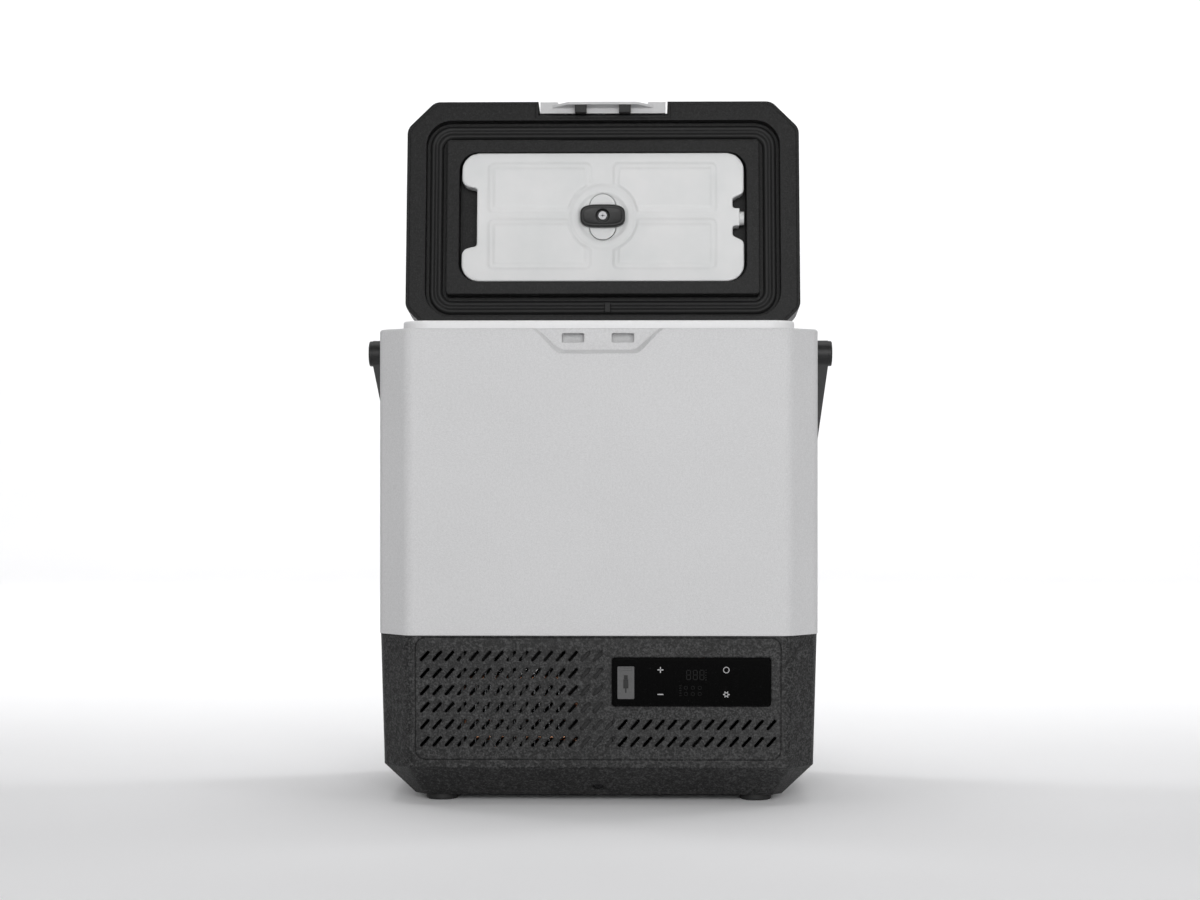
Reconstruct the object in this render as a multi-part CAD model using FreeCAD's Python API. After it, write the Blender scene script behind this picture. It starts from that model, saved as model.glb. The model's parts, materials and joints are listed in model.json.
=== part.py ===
"""Compressor cooler fridge with a hinged lid, a swinging bail handle and a vented base.

Frame: X to the right, Y to the back, Z up, millimetres.
The origin lies on the floor, at the centre of the body's footprint.
The lid is drawn closed and is turned to its open stop just before export.
"""
import FreeCAD
import Part
import math
import os

V = FreeCAD.Vector
X_AXIS = V(1, 0, 0)
Y_AXIS = V(0, 1, 0)
Z_AXIS = V(0, 0, 1)

# ---------------------------------------------------------------- overall sizes
BODY_W = 400.0            # outer width of the upper housing
BODY_D = 242.0            # outer depth of the upper housing
CORNER = 28.0             # leg of the 45 degree vertical corner faces
CORNER_R = 14.0           # rounding of each crease beside a corner face
BODY_TOP = 430.0          # height of the housing's top edge above the floor
SEAM_Z = 153.0            # height of the joint between base and upper housing
LID_H = 58.0              # height of the closed lid above its lower edge
LID_GAP = 0.6             # gap under the closed lid's border
OPEN_ANGLE = 97.0         # lid opening at its stop

# ---------------------------------------------------------------- walls and clearances
WALL = 3.0                # outer mouldings
LINER_WALL = 2.5          # chamber and lid mouldings
FIT = 0.3                 # gap around a panel set into an opening
RUN = 0.05                # radial clearance of a running fit
FOOT_H = 5.8              # the base's underside above the floor
FOOT_R = 14.5
FOOT_IN_X = 56.0          # foot centres in from the body's sides
FOOT_IN_Y = 48.0

# ---------------------------------------------------------------- base
BASE_STEP = 0.8           # base stands this far inside the upper housing
BASE_DRAFT = 3.4          # inward taper per side from the seam to the lower edge
LOWER_EDGE = 28.0         # leg of the 45 degree face round the bottom
SIDE_SCREW_Y = 42.0

# ---------------------------------------------------------------- chamber collar and opening
COLLAR_INSET = 20.5
COLLAR_H = 8.0
COLLAR_R = 24.0
MOUTH_INSET = 38.0        # chamber opening, in from the body's outline
MOUTH_R = 9.0
FLOOR_FOAM = 25.0         # chamber floor above the seam

# ---------------------------------------------------------------- lid underside
CHANNEL_INSET = 19.6      # outer edge of the gasket channel
CHANNEL_TOP = 13.0        # channel ceiling above the body's top edge
GASKET_OUT = 22.9
GASKET_IN = 36.8
PLUG_INSET = 40.7
PLUG_DROP = 4.0           # plug face below the body's top edge
PACK_INSET = 54.0         # edge of the ice pack recess
PACK_ROOF = 17.0          # recess ceiling above the body's top edge
PACK_R = 19.0
CHANNEL_R = 26.0
GASKET_R = 22.0
GASKET_GAP = 0.3
LID_BEVEL = 9.0

# ---------------------------------------------------------------- ice pack and its retainer
PACK_GAP_X = 2.5          # ice pack to the side of its recess
PACK_GAP_Y = 0.5
PACK_CORNER = 18.0
PACK_T = 17.0
GRIP_SHOULDER = 33.5      # plain edge on either side of the grip notch
GRIP_DEPTH = 15.5
BOSS_W = 26.3
BOSS_L = 46.7
KNOB_L = 45.5
KNOB_W = 23.5
KNOB_T = 7.0
KNOB_SCREW_R = 2.0

# ---------------------------------------------------------------- latch
RECESS_TOP_W = 122.0
RECESS_FLOOR_W = 70.0
RECESS_H = 21.2
RECESS_R = 12.0           # lower corners of the recess
RECESS_FLARE = 9.0        # its blend into the housing's top edge
RECESS_DEPTH = 7.0
POCKET_W = 20.0
POCKET_H = 8.3
POCKET_DEPTH = 9.5
POCKET_DROP = 4.4         # pocket's upper edge below the body's top edge
HOOK_SPACING = 45.0
HOOK_W = 12.0
LATCH_W = 128.0
NOTCH_GAP = 2.0           # notch beyond each end of the lever
NOTCH_D = 14.0
NOTCH_H = 46.0
LATCH_PIN_R = 2.0
LATCH_PIN_BACK = 6.6      # pin behind the body's front face
LATCH_PIN_UP = 36.0       # pin above the body's top edge
TONGUE_T = 2.6            # lever's tongue, which carries the hooks
TONGUE_GAP = 0.6          # tongue to the recess floor
TONGUE_DROP = 12.6        # tongue's lower edge below the body's top edge
HOOK_REACH = 8.0          # hooks behind the recess floor

# ---------------------------------------------------------------- lid hinge
HINGE_BACK = 7.0          # hinge axis behind the rear wall
HINGE_IN = 85.0           # hinge centres in from the body's sides
KNUCKLE_R = 5.5
KNUCKLE_L = 22.0
EAR_L = 9.0
HINGE_PIN_R = 2.5
LEAF_T = 3.0

# ---------------------------------------------------------------- carry handle
HANDLE_DROP = 18.0        # pivot below the body's top edge
HANDLE_L = 159.0          # pivot to crossbar centre
HANDLE_FOLD = 29.0        # arms below horizontal when folded back, degrees
ARM_T = 14.0
ARM_GAP = 2.5             # washer between arm and side wall
ARM_R = 12.5
BAR_R = 11.0
GRIP_L = 130.0
GRIP_T = 1.5
PIVOT_R = 5.0
CAP_T = 3.5
PIVOT_HEAD_R = 8.0

# ---------------------------------------------------------------- front panel
PANEL_SIDE = 35.5         # panel edge in from the body's side
PANEL_DOWN = 2.0          # panel's upper edge below the seam
PANEL_UP = 7.2            # panel's lower edge above the sloping lower edge
PANEL_R = 9.0
SLOT_L = 12.0
SLOT_W = 2.7
SLOT_ANGLE = 48.0
SLOT_PITCH_X = 11.15
SLOT_PITCH_Z = 15.45
SLOT_SIDE = 8.0           # plain border beside the slots
SLOT_BORDER = 16.3        # plain border above and below the slots
DISPLAY_EDGE = 8.8        # control panel in from the panel's right edge
DISPLAY_DOWN = 39.6       # control panel's centre below the panel's upper edge
DISPLAY_W = 143.0
DISPLAY_H = 44.0
DISPLAY_R = 2.5
DISPLAY_PROUD = 0.8
USB_IN = 12.5             # USB cover's centre in from the control panel's left edge
USB_DOWN = 0.6
USB_W = 15.8
USB_H = 29.9
USB_COVER_T = 2.2
USB_PORT_W = 6.4
USB_PORT_H = 14.0

# ---------------------------------------------------------------- rear panel and inlet
REAR_W = 210.0
REAR_DOWN = 15.0
REAR_UP = 12.2
INLET_IN = 55.0
INLET_Z = 70.0
INLET_W = 34.0
INLET_H = 24.0

# ---------------------------------------------------------------- machine bay
TRAY_T = 2.5
FAN_SIZE = 92.0
FAN_T = 25.0
FAN_IN = 128.0            # fan axis in from the left side
FAN_LIFT = 16.7           # fan frame above the tray
COMP_IN_X = 116.0         # compressor axis in from the right side
COMP_IN_Y = 85.0          # and from the rear
COMP_R = 48.0
COMP_H = 104.0
COIL_R = 3.0
COIL_PITCH = 18.0
COIL_IN = 47.0            # condenser behind the body's front
COIL_TO_FAN = 40.0
FIN_PITCH = 4.5
COMP_PLATE_W = 110.0
COMP_PLATE_D = 96.0

# ---------------------------------------------------------------- derived places
HALF_W = BODY_W / 2
HALF_D = BODY_D / 2
HINGE_Y = HALF_D + HINGE_BACK
HINGE_Z = BODY_TOP
LID_LOW = BODY_TOP + LID_GAP
LID_TOP = BODY_TOP + LID_H
CHAMBER_FLOOR = SEAM_Z + FLOOR_FOAM
CHAMFER_TOP = FOOT_H + LOWER_EDGE
PIVOT_Z = BODY_TOP - HANDLE_DROP
FRONT = -HALF_D
PLUG_Z = BODY_TOP - PLUG_DROP
FOOT_X = HALF_W - FOOT_IN_X
FOOT_Y = HALF_D - FOOT_IN_Y
HINGE_X = HALF_W - HINGE_IN
LATCH_PIN_L = LATCH_W + 2 * (NOTCH_GAP + WALL)
PACK_W = BODY_W - 2 * PACK_INSET - 2 * PACK_GAP_X
PACK_D = BODY_D - 2 * PACK_INSET - 2 * PACK_GAP_Y
PANEL_W = BODY_W - 2 * PANEL_SIDE
PANEL_TOP = SEAM_Z - PANEL_DOWN
PANEL_BOTTOM = CHAMFER_TOP + PANEL_UP
SLOT_HALF_COLS = int((PANEL_W / 2 - SLOT_SIDE) / SLOT_PITCH_X)
SLOT_ROWS = int((PANEL_TOP - PANEL_BOTTOM - 2 * SLOT_BORDER) / SLOT_PITCH_Z) + 1
SLOT_LOW_Z = PANEL_BOTTOM + SLOT_BORDER
DISPLAY_X = PANEL_W / 2 - DISPLAY_EDGE - DISPLAY_W / 2
DISPLAY_Z = PANEL_TOP - DISPLAY_DOWN
USB_X = DISPLAY_X - DISPLAY_W / 2 + USB_IN
USB_Z = DISPLAY_Z - USB_DOWN
REAR_TOP = SEAM_Z - REAR_DOWN
REAR_LOW = CHAMFER_TOP + REAR_UP
INLET_X = HALF_W - INLET_IN
FAN_X = FAN_IN - HALF_W
COIL_Y = COIL_IN - HALF_D
FAN_Y = COIL_Y + COIL_TO_FAN
FAN_Z = FOOT_H + WALL + TRAY_T + FAN_LIFT + FAN_SIZE / 2
COMP_X = HALF_W - COMP_IN_X
COMP_Y = HALF_D - COMP_IN_Y
TRAY_HALF_W = HALF_W - 78.0
TRAY_HALF_D = HALF_D - 65.0

PIECES = {}


# ================================================================ helpers
def rounded_outline(points, radii):
    """Closed wire through the points, each corner rounded by its own radius."""
    count = len(points)
    edges = []
    starts = []
    ends = []
    middles = []
    for i in range(count):
        here = points[i]
        back = points[i - 1] - here
        ahead = points[(i + 1) % count] - here
        back.normalize()
        ahead.normalize()
        radius = radii[i]
        half = back.getAngle(ahead) / 2
        if radius <= 0:
            starts.append(here)
            ends.append(here)
            middles.append(None)
            continue
        reach = radius / math.tan(half)
        bisector = back + ahead
        bisector.normalize()
        centre = here + bisector * (radius / math.sin(half))
        starts.append(here + back * reach)
        ends.append(here + ahead * reach)
        middles.append(centre - bisector * radius)
    for i in range(count):
        if middles[i] is not None:
            edges.append(Part.Arc(starts[i], middles[i], ends[i]).toShape())
        after = starts[(i + 1) % count]
        if (after - ends[i]).Length > 1e-6:
            edges.append(Part.LineSegment(ends[i], after).toShape())
    return Part.Wire(edges)


def body_outline(inset, z):
    """The body's eight-sided plan outline, moved in by an inset."""
    hx = BODY_W / 2 - inset
    hy = BODY_D / 2 - inset
    leg = CORNER - inset * (2 - math.sqrt(2))
    corners = [
        V(hx - leg, -hy, z), V(hx, -hy + leg, z), V(hx, hy - leg, z), V(hx - leg, hy, z),
        V(-hx + leg, hy, z), V(-hx, hy - leg, z), V(-hx, -hy + leg, z), V(-hx + leg, -hy, z),
    ]
    return rounded_outline(corners, [max(CORNER_R - inset, 2.0)] * 8)


def rect_outline(width, depth, radius, z, x=0.0, y=0.0):
    hx = width / 2
    hy = depth / 2
    corners = [V(x - hx, y - hy, z), V(x + hx, y - hy, z), V(x + hx, y + hy, z), V(x - hx, y + hy, z)]
    return rounded_outline(corners, [radius] * 4)


def prism(wire, height):
    return Part.Face(wire).extrude(V(0, 0, height))


def inset_rect(inset, radius, z, height):
    """Rounded block whose plan is the body's rectangle moved in by an inset."""
    return prism(rect_outline(BODY_W - 2 * inset, BODY_D - 2 * inset, radius, z), height)


def block(x0, x1, y0, y1, z0, z1):
    return Part.makeBox(x1 - x0, y1 - y0, z1 - z0, V(x0, y0, z0))


def rod(radius, start, direction, length):
    return Part.makeCylinder(radius, length, start, direction)


def rect_facing(width, height, radius, x, y, z):
    """Rounded rectangle that faces the front, centred on x and z in the plane y."""
    hx = width / 2
    hz = height / 2
    corners = [V(x - hx, y, z - hz), V(x + hx, y, z - hz), V(x + hx, y, z + hz), V(x - hx, y, z + hz)]
    return rounded_outline(corners, [radius] * 4)


def deep(wire, depth):
    """Solid from an outline that faces the front, extruded towards the back."""
    return Part.Face(wire).extrude(V(0, depth, 0))


def fuse(shapes):
    whole = shapes[0]
    if len(shapes) > 1:
        whole = shapes[0].multiFuse(shapes[1:])
    return whole.removeSplitter()


def group(shapes):
    return Part.makeCompound(shapes)


def tube_path(points, radius):
    """Round tube through the points, with ball joints at its bends."""
    parts = []
    for a, b in zip(points, points[1:]):
        parts.append(rod(radius, a, b - a, (b - a).Length))
    for p in points[1:-1]:
        parts.append(Part.makeSphere(radius, p))
    return fuse(parts)


def pan_screw(radius, head_r, length, head_h):
    """Screw along -Z from the origin, its head above."""
    shank = rod(radius, V(0, 0, -length), Z_AXIS, length)
    head = rod(head_r, V(0, 0, 0), Z_AXIS, head_h)
    cross = [
        block(-head_r * 0.6, head_r * 0.6, -0.4, 0.4, head_h * 0.4, head_h + 1),
        block(-0.4, 0.4, -head_r * 0.6, head_r * 0.6, head_h * 0.4, head_h + 1),
    ]
    return fuse([shank, head]).cut(group(cross))


def placed(shape, direction, at):
    """Copy whose own +Z points along a direction, moved to a place."""
    out = shape.copy()
    out.Placement = FreeCAD.Placement(at, FreeCAD.Rotation(Z_AXIS, direction))
    return out


def keep(name, shape):
    PIECES[name] = shape


# ================================================================ upper housing
def recess_outline(grow, y):
    """Trapezoid outline of the latch recess in the plane y, grown on all sides."""
    top = BODY_TOP + 2.0
    low = BODY_TOP - RECESS_H - grow
    half_top = RECESS_TOP_W / 2 + grow
    half_low = RECESS_FLOOR_W / 2 + grow
    lean = (half_top - half_low) * 0.35
    corners = [
        V(-half_low, y, low), V(half_low, y, low), V(half_top - lean, y, BODY_TOP - 5.0),
        V(half_top, y, top), V(-half_top, y, top), V(-half_top + lean, y, BODY_TOP - 5.0),
    ]
    return rounded_outline(corners, [RECESS_R, RECESS_R, RECESS_FLARE, 0.0, 0.0, RECESS_FLARE])


def recess_cut(grow, depth):
    """Latch recess with sloping walls, as a solid to take away or keep clear."""
    mouth = recess_outline(grow + 2.0, FRONT - 0.5)
    floor = recess_outline(grow - 1.5, FRONT + depth)
    return Part.makeLoft([mouth, floor], True, True)


def pocket_blocks(grow, depth):
    z_mid = BODY_TOP - POCKET_DROP - POCKET_H / 2
    out = []
    for x in (-HOOK_SPACING / 2, HOOK_SPACING / 2):
        wire = rect_facing(POCKET_W + 2 * grow, POCKET_H + 2 * grow, 1.5 + grow, x, FRONT + 1.0, z_mid)
        out.append(deep(wire, depth + grow - 1.0))
    return out


def shell_block():
    """Outer form of the upper housing with a softened top edge."""
    solid = prism(body_outline(0, SEAM_Z), BODY_TOP - SEAM_Z)
    edges = [e for e in solid.Edges if e.BoundBox.ZMin > BODY_TOP - 0.01]
    return solid.makeFillet(2.5, edges)


def tub_outer():
    wide = MOUTH_INSET - LINER_WALL
    height = BODY_TOP - CHAMBER_FLOOR + LINER_WALL
    return inset_rect(wide, MOUTH_R + LINER_WALL, CHAMBER_FLOOR - LINER_WALL, height)


def pivot_holes(radius):
    z = PIVOT_Z
    return [rod(radius, V(side * (HALF_W - 12.0), 0, z), V(side, 0, 0), 14.0) for side in (-1, 1)]


def pivot_lugs():
    """Blocks inside the side walls that the handle's pivots screw into."""
    out = []
    for side in (-1, 1):
        x0 = side * (HALF_W - WALL)
        x1 = side * (HALF_W - 14.0)
        out.append(rod(10.0, V(x1, 0, PIVOT_Z), V(side, 0, 0), abs(x0 - x1)))
    return out


def upper_housing():
    core = prism(body_outline(WALL, SEAM_Z - 1), BODY_TOP - WALL - SEAM_Z + 1)
    guard = recess_cut(WALL, RECESS_DEPTH + WALL)
    pockets = pocket_blocks(2.0, POCKET_DEPTH + RECESS_DEPTH)
    core = core.cut([guard] + pockets + pivot_lugs())
    shell = shell_block().cut(core)
    deck_hole = inset_rect(MOUTH_INSET - LINER_WALL, MOUTH_R + LINER_WALL, BODY_TOP - 20, 40)
    cuts = [deck_hole, recess_cut(0, RECESS_DEPTH)]
    cuts += pocket_blocks(0, POCKET_DEPTH + RECESS_DEPTH)
    cuts += pivot_holes(PIVOT_R)
    shell = shell.cut(cuts)
    keep("upper_housing", shell)
    return core


def chamber():
    """Food chamber moulding: tub, mouth and raised collar with sloping outer edge."""
    collar = inset_rect(COLLAR_INSET, COLLAR_R, BODY_TOP, COLLAR_H)
    rim = [e for e in collar.Edges if e.BoundBox.ZMin > BODY_TOP + COLLAR_H - 0.01]
    collar = collar.makeFillet(2.0, rim)
    cavity = inset_rect(MOUTH_INSET, MOUTH_R, CHAMBER_FLOOR, BODY_TOP + COLLAR_H - CHAMBER_FLOOR + 1)
    floor_edges = [e for e in cavity.Edges if e.BoundBox.ZMax < CHAMBER_FLOOR + 0.01]
    cavity = cavity.makeFillet(10.0, floor_edges)
    tub = tub_outer()
    low_edges = [e for e in tub.Edges if e.BoundBox.ZMax < CHAMBER_FLOOR - LINER_WALL + 0.01]
    tub = tub.makeFillet(10.0 + LINER_WALL, low_edges)
    keep("chamber_liner", collar.fuse(tub).cut(cavity).removeSplitter())
    return tub


def insulation(core, tub):
    """Foam between the housing and the tub, with the evaporator sheet wrapped round the tub."""
    low = BODY_TOP - 200.0
    sheet_t = 1.2
    sheet = inset_rect(MOUTH_INSET - LINER_WALL - sheet_t, MOUTH_R + LINER_WALL + sheet_t, low, 150.0)
    sheet = sheet.cut(inset_rect(MOUTH_INSET - LINER_WALL, MOUTH_R + LINER_WALL, low - 1, 152.0))
    keep("evaporator_plate", sheet)
    above_floor = block(-HALF_W, HALF_W, -HALF_D, HALF_D, SEAM_Z + WALL, BODY_TOP)
    foam = core.common(above_floor).cut([tub, sheet])
    keep("cabinet_foam", foam)
    keep("bay_bulkhead", prism(body_outline(WALL, SEAM_Z), WALL))


# ================================================================ base
def base_levels(inset):
    """Plan outlines of the base at the seam, at its lower edge and at its underside."""
    top = body_outline(BASE_STEP + inset, SEAM_Z)
    side = BASE_STEP + BASE_DRAFT + inset
    mid = body_outline(side, CHAMFER_TOP)
    bottom = body_outline(side + LOWER_EDGE, FOOT_H)
    return top, mid, bottom


def base_solid(inset, top_z, low_z):
    """Tapered base block with the sloping lower edge, cut to a height range."""
    top, mid, bottom = base_levels(inset)
    upper = Part.makeLoft([mid, top], True, True)
    lower = Part.makeLoft([bottom, mid], True, True)
    whole = upper.fuse(lower)
    keep_range = block(-BODY_W, BODY_W, -BODY_D, BODY_D, low_z, top_z)
    return whole.common(keep_range)


def base_wall_y(z):
    """Front face of the base at a height, as a distance from the centre plane."""
    share = (SEAM_Z - z) / (SEAM_Z - CHAMFER_TOP)
    return HALF_D - BASE_STEP - BASE_DRAFT * share


def tray_hole(grow, z, height):
    return prism(rect_outline(2 * (TRAY_HALF_W + grow), 2 * (TRAY_HALF_D + grow), 6.0 + grow, z), height)


def chamfer_screws():
    """Places and directions of the screws in the base's sloping lower edge."""
    z = FOOT_H + 7.5
    inward = BASE_STEP + BASE_DRAFT + LOWER_EDGE - (z - FOOT_H)
    y = HALF_D - inward
    x = HALF_W - inward
    tilt = math.sqrt(0.5)
    out = []
    for side in (-1, 1):
        out.append((V(0, side * y, z), V(0, side * tilt, -tilt)))
        for screw_y in (-SIDE_SCREW_Y, SIDE_SCREW_Y):
            out.append((V(side * x, screw_y, z), V(side * tilt, 0, -tilt)))
    return out


def screw_recesses(radius, depth):
    out = []
    for at, outward in chamfer_screws():
        out.append(rod(radius, at - outward * depth, outward, depth + 8.0))
    return out


def panel_void(grow, depth, width=PANEL_W, top=PANEL_TOP, low=PANEL_BOTTOM, side=-1):
    """Opening for a vent panel in the front (side -1) or rear (side 1) wall."""
    height = top - low + 2 * grow
    y = side * (HALF_D + 5.0)
    wire = rect_facing(width + 2 * grow, height, PANEL_R + grow, 0, y, (top + low) / 2)
    return Part.Face(wire).extrude(V(0, -side * depth, 0))


def inlet_wire(grow, y):
    return rect_facing(INLET_W + 2 * grow, INLET_H + 2 * grow, 3.0, INLET_X, y, INLET_Z)


def base_housing():
    outer = base_solid(0, SEAM_Z, FOOT_H)
    inner = base_solid(WALL, SEAM_Z + 1, FOOT_H + WALL)
    bosses = []
    for at, outward in chamfer_screws():
        bosses.append(rod(8.0, at - outward * 14.0, outward, 14.0))
    ledges = [panel_void(5.0, 5.0 + WALL + 7.0), rear_void(5.0, 5.0 + WALL + 7.0)]
    inner = inner.cut(bosses + ledges)
    shell = outer.cut(inner)
    cuts = [panel_void(FIT, 5.0 + BASE_STEP + BASE_DRAFT + WALL)]
    cuts += [panel_void(-3.0, 40.0)]
    cuts += [rear_void(FIT, 5.0 + BASE_STEP + BASE_DRAFT + WALL), rear_void(-3.0, 40.0)]
    cuts += screw_recesses(5.2, 3.5)
    cuts += screw_recesses(1.9, 12.0)
    cuts += [tray_hole(0, FOOT_H - 1, WALL + 2)]
    cuts += [deep(inlet_wire(0, HALF_D - 12.0), 20.0)]
    for x, y in foot_places():
        cuts.append(rod(2.0, V(x, y, FOOT_H - 1), Z_AXIS, WALL + 2))
    keep("base_housing", shell.cut(cuts))


def rear_void(grow, depth):
    return panel_void(grow, depth, REAR_W, REAR_TOP, REAR_LOW, 1)


def foot_places():
    return [(x, y) for x in (-FOOT_X, FOOT_X) for y in (-FOOT_Y, FOOT_Y)]


def slot_wires(columns, pitch_x, x_mid, y, z):
    """One row of slanted slots as outlines facing the front."""
    wires = []
    half = (SLOT_L - SLOT_W) / 2
    r = SLOT_W / 2
    turn = math.radians(SLOT_ANGLE)
    along = V(math.cos(turn), 0, math.sin(turn))
    across = V(-math.sin(turn), 0, math.cos(turn))
    for col in columns:
        mid = V(x_mid + col * pitch_x, y, z)
        a = mid - along * half
        b = mid + along * half
        edges = [
            Part.LineSegment(a - across * r, b - across * r).toShape(),
            Part.Arc(b - across * r, b + along * r, b + across * r).toShape(),
            Part.LineSegment(b + across * r, a + across * r).toShape(),
            Part.Arc(a + across * r, a - along * r, a - across * r).toShape(),
        ]
        wires.append(Part.Wire(edges))
    return wires


def slot_cutters(y, rows, pitch_z, low_z, columns_of, x_mid):
    cutters = []
    for row in range(rows):
        z = low_z + row * pitch_z
        for wire in slot_wires(columns_of(row), SLOT_PITCH_X, x_mid, y, z):
            cutters.append(deep(wire, 30.0))
    return cutters


def front_columns(row):
    """Rows level with the control panel stop before its left edge, the others run the full width."""
    z = SLOT_LOW_Z + row * SLOT_PITCH_Z
    columns = range(-SLOT_HALF_COLS, SLOT_HALF_COLS + 1)
    if z + SLOT_L / 2 < DISPLAY_Z - DISPLAY_H / 2:
        return columns
    limit = DISPLAY_X - DISPLAY_W / 2 - SLOT_L / 2
    return [col for col in columns if col * SLOT_PITCH_X < limit]


def vent_panel(name, side, width, top, low, cutters, extra):
    """Flat tapered panel that follows the base wall, filled into its opening."""
    wall = base_solid(0, SEAM_Z, CHAMFER_TOP).cut(base_solid(WALL, SEAM_Z + 1, CHAMFER_TOP - 1))
    height = top - low
    y = side * (HALF_D + 5.0)
    wire = rect_facing(width, height, PANEL_R, 0, y, (top + low) / 2)
    plate = Part.Face(wire).extrude(V(0, -side * 30.0, 0)).common(wall)
    keep(name, plate.cut(cutters + extra))


def panels():
    display_hole = deep(rect_facing(DISPLAY_W, DISPLAY_H, DISPLAY_R, DISPLAY_X, FRONT - 5, DISPLAY_Z), 30.0)
    front_cut = slot_cutters(FRONT - 5, SLOT_ROWS, SLOT_PITCH_Z, SLOT_LOW_Z, front_columns, 0)
    vent_panel("front_grille", -1, PANEL_W, PANEL_TOP, PANEL_BOTTOM, front_cut, [display_hole])
    half = int((REAR_W / 2 - SLOT_L) / SLOT_PITCH_X)
    rows = int((REAR_TOP - REAR_LOW - SLOT_L) / SLOT_PITCH_Z) + 1
    low = (REAR_TOP + REAR_LOW - (rows - 1) * SLOT_PITCH_Z) / 2
    rear_cut = slot_cutters(HALF_D - 20, rows, SLOT_PITCH_Z, low, lambda row: range(-half, half + 1), 0)
    vent_panel("rear_grille", 1, REAR_W, REAR_TOP, REAR_LOW, rear_cut, [])


def control_panel():
    """Bezel tray, glass, rubber-covered USB socket and the display board behind."""
    face_y = -base_wall_y(DISPLAY_Z + DISPLAY_H / 2) - DISPLAY_PROUD
    deep_t = 9.0
    wire = rect_facing(DISPLAY_W - 2 * FIT, DISPLAY_H - 2 * FIT, DISPLAY_R, DISPLAY_X, face_y, DISPLAY_Z)
    whole = deep(wire, deep_t)
    glass_t = 1.8
    lip = 1.2
    inset = DISPLAY_W - 2 * FIT - 2 * lip
    glass_wire = rect_facing(inset, DISPLAY_H - 2 * FIT - 2 * lip, 1.6, DISPLAY_X, face_y, DISPLAY_Z)
    seat = deep(glass_wire, glass_t)
    hollow_wire = rect_facing(inset - 4, DISPLAY_H - 8, 1.6, DISPLAY_X, face_y, DISPLAY_Z)
    hollow = deep(hollow_wire, deep_t + 1)
    usb_void = deep(rect_facing(USB_W, USB_H, 1.2, USB_X, face_y - 1, USB_Z), 1.0 + USB_COVER_T + 0.4)
    usb_wall = deep(rect_facing(USB_W + 3, USB_H + 3, 1.8, USB_X, face_y + glass_t, USB_Z), deep_t - glass_t)
    port = deep(rect_facing(USB_PORT_W, USB_PORT_H, 0.6, USB_X, face_y, USB_Z), 30.0)
    bezel = whole.cut([seat, hollow]).fuse(usb_wall).cut([usb_void, port])
    keep("control_bezel", bezel.removeSplitter())
    keep("control_glass", seat.cut(usb_void))
    board_y = face_y + deep_t
    board_w = DISPLAY_W / 2 - 5.5
    board_h = DISPLAY_H / 2 - 3.0
    board = block(DISPLAY_X - board_w, DISPLAY_X + board_w, board_y, board_y + 1.6,
                  DISPLAY_Z - board_h, DISPLAY_Z + board_h)
    chips = [
        block(DISPLAY_X + dx - 6, DISPLAY_X + dx + 6, board_y + 1.6, board_y + 4, DISPLAY_Z - 6, DISPLAY_Z + 6)
        for dx in (-10, 12, 34)
    ]
    pins = block(USB_X - 9, USB_X + 9, board_y - 1, board_y + 3, USB_Z - 11, USB_Z + 11)
    keep("display_board", fuse([board] + chips).cut(pins))
    sleeve_y = face_y + USB_COVER_T + 0.6
    sleeve = deep(rect_facing(USB_PORT_W - 0.2, USB_PORT_H - 0.2, 0.5, USB_X, sleeve_y, USB_Z), 12.0)
    mouth = deep(rect_facing(USB_PORT_W - 1.4, USB_PORT_H - 1.4, 0.3, USB_X, face_y, USB_Z), 12.0)
    tongue = block(USB_X - 1.0, USB_X + 0.6, face_y + 4, face_y + 13, USB_Z - 4.5, USB_Z + 4.5)
    keep("usb_socket", sleeve.cut(mouth).fuse(tongue))
    flap_wire = rect_facing(USB_W - 0.6, USB_H - 0.6, 1.0, USB_X, face_y, USB_Z)
    flap = deep(flap_wire, USB_COVER_T)
    grip = deep(rect_facing(USB_W - 5, 2.0, 0.6, USB_X, face_y - 0.5, USB_Z + USB_H / 2 - 3), 1.5)
    keep("usb_cover", flap.fuse(grip).removeSplitter())


def tray_and_feet():
    low = FOOT_H + WALL
    plate = tray_hole(7.0, low, TRAY_T)
    insert = tray_hole(-FIT, FOOT_H, WALL)
    screws = []
    holes = []
    for x in (-TRAY_HALF_W - 3.5, 0, TRAY_HALF_W + 3.5):
        for y in (-TRAY_HALF_D - 3.5, TRAY_HALF_D + 3.5):
            at = V(x, y, low + TRAY_T)
            screws.append(placed(pan_screw(1.4, 2.8, TRAY_T, 1.6), Z_AXIS, at))
            holes.append(rod(1.4, V(x, y, low - 1), Z_AXIS, TRAY_T + 2))
    keep("base_tray", plate.fuse(insert).removeSplitter().cut(holes))
    keep("tray_screws", group(screws))
    feet = []
    foot_screws = []
    for x, y in foot_places():
        pad = rod(FOOT_R, V(x, y, 0), Z_AXIS, FOOT_H)
        pad = pad.makeFillet(1.6, [e for e in pad.Edges if e.BoundBox.ZMax < 0.01])
        pad = pad.cut([rod(5.0, V(x, y, -1), Z_AXIS, 3.5), rod(2.0, V(x, y, 0), Z_AXIS, 10)])
        feet.append(pad)
        foot_screws.append(placed(pan_screw(2.0, 4.0, 10.0, 1.5), V(0, 0, -1), V(x, y, 2.5)))
    keep("rubber_feet", group(feet))
    keep("feet_screws", group(foot_screws))
    low_screws = []
    for at, outward in chamfer_screws():
        low_screws.append(placed(pan_screw(1.9, 3.6, 7.5, 2.0), outward, at - outward * 3.5))
    keep("base_screws", group(low_screws))


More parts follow.
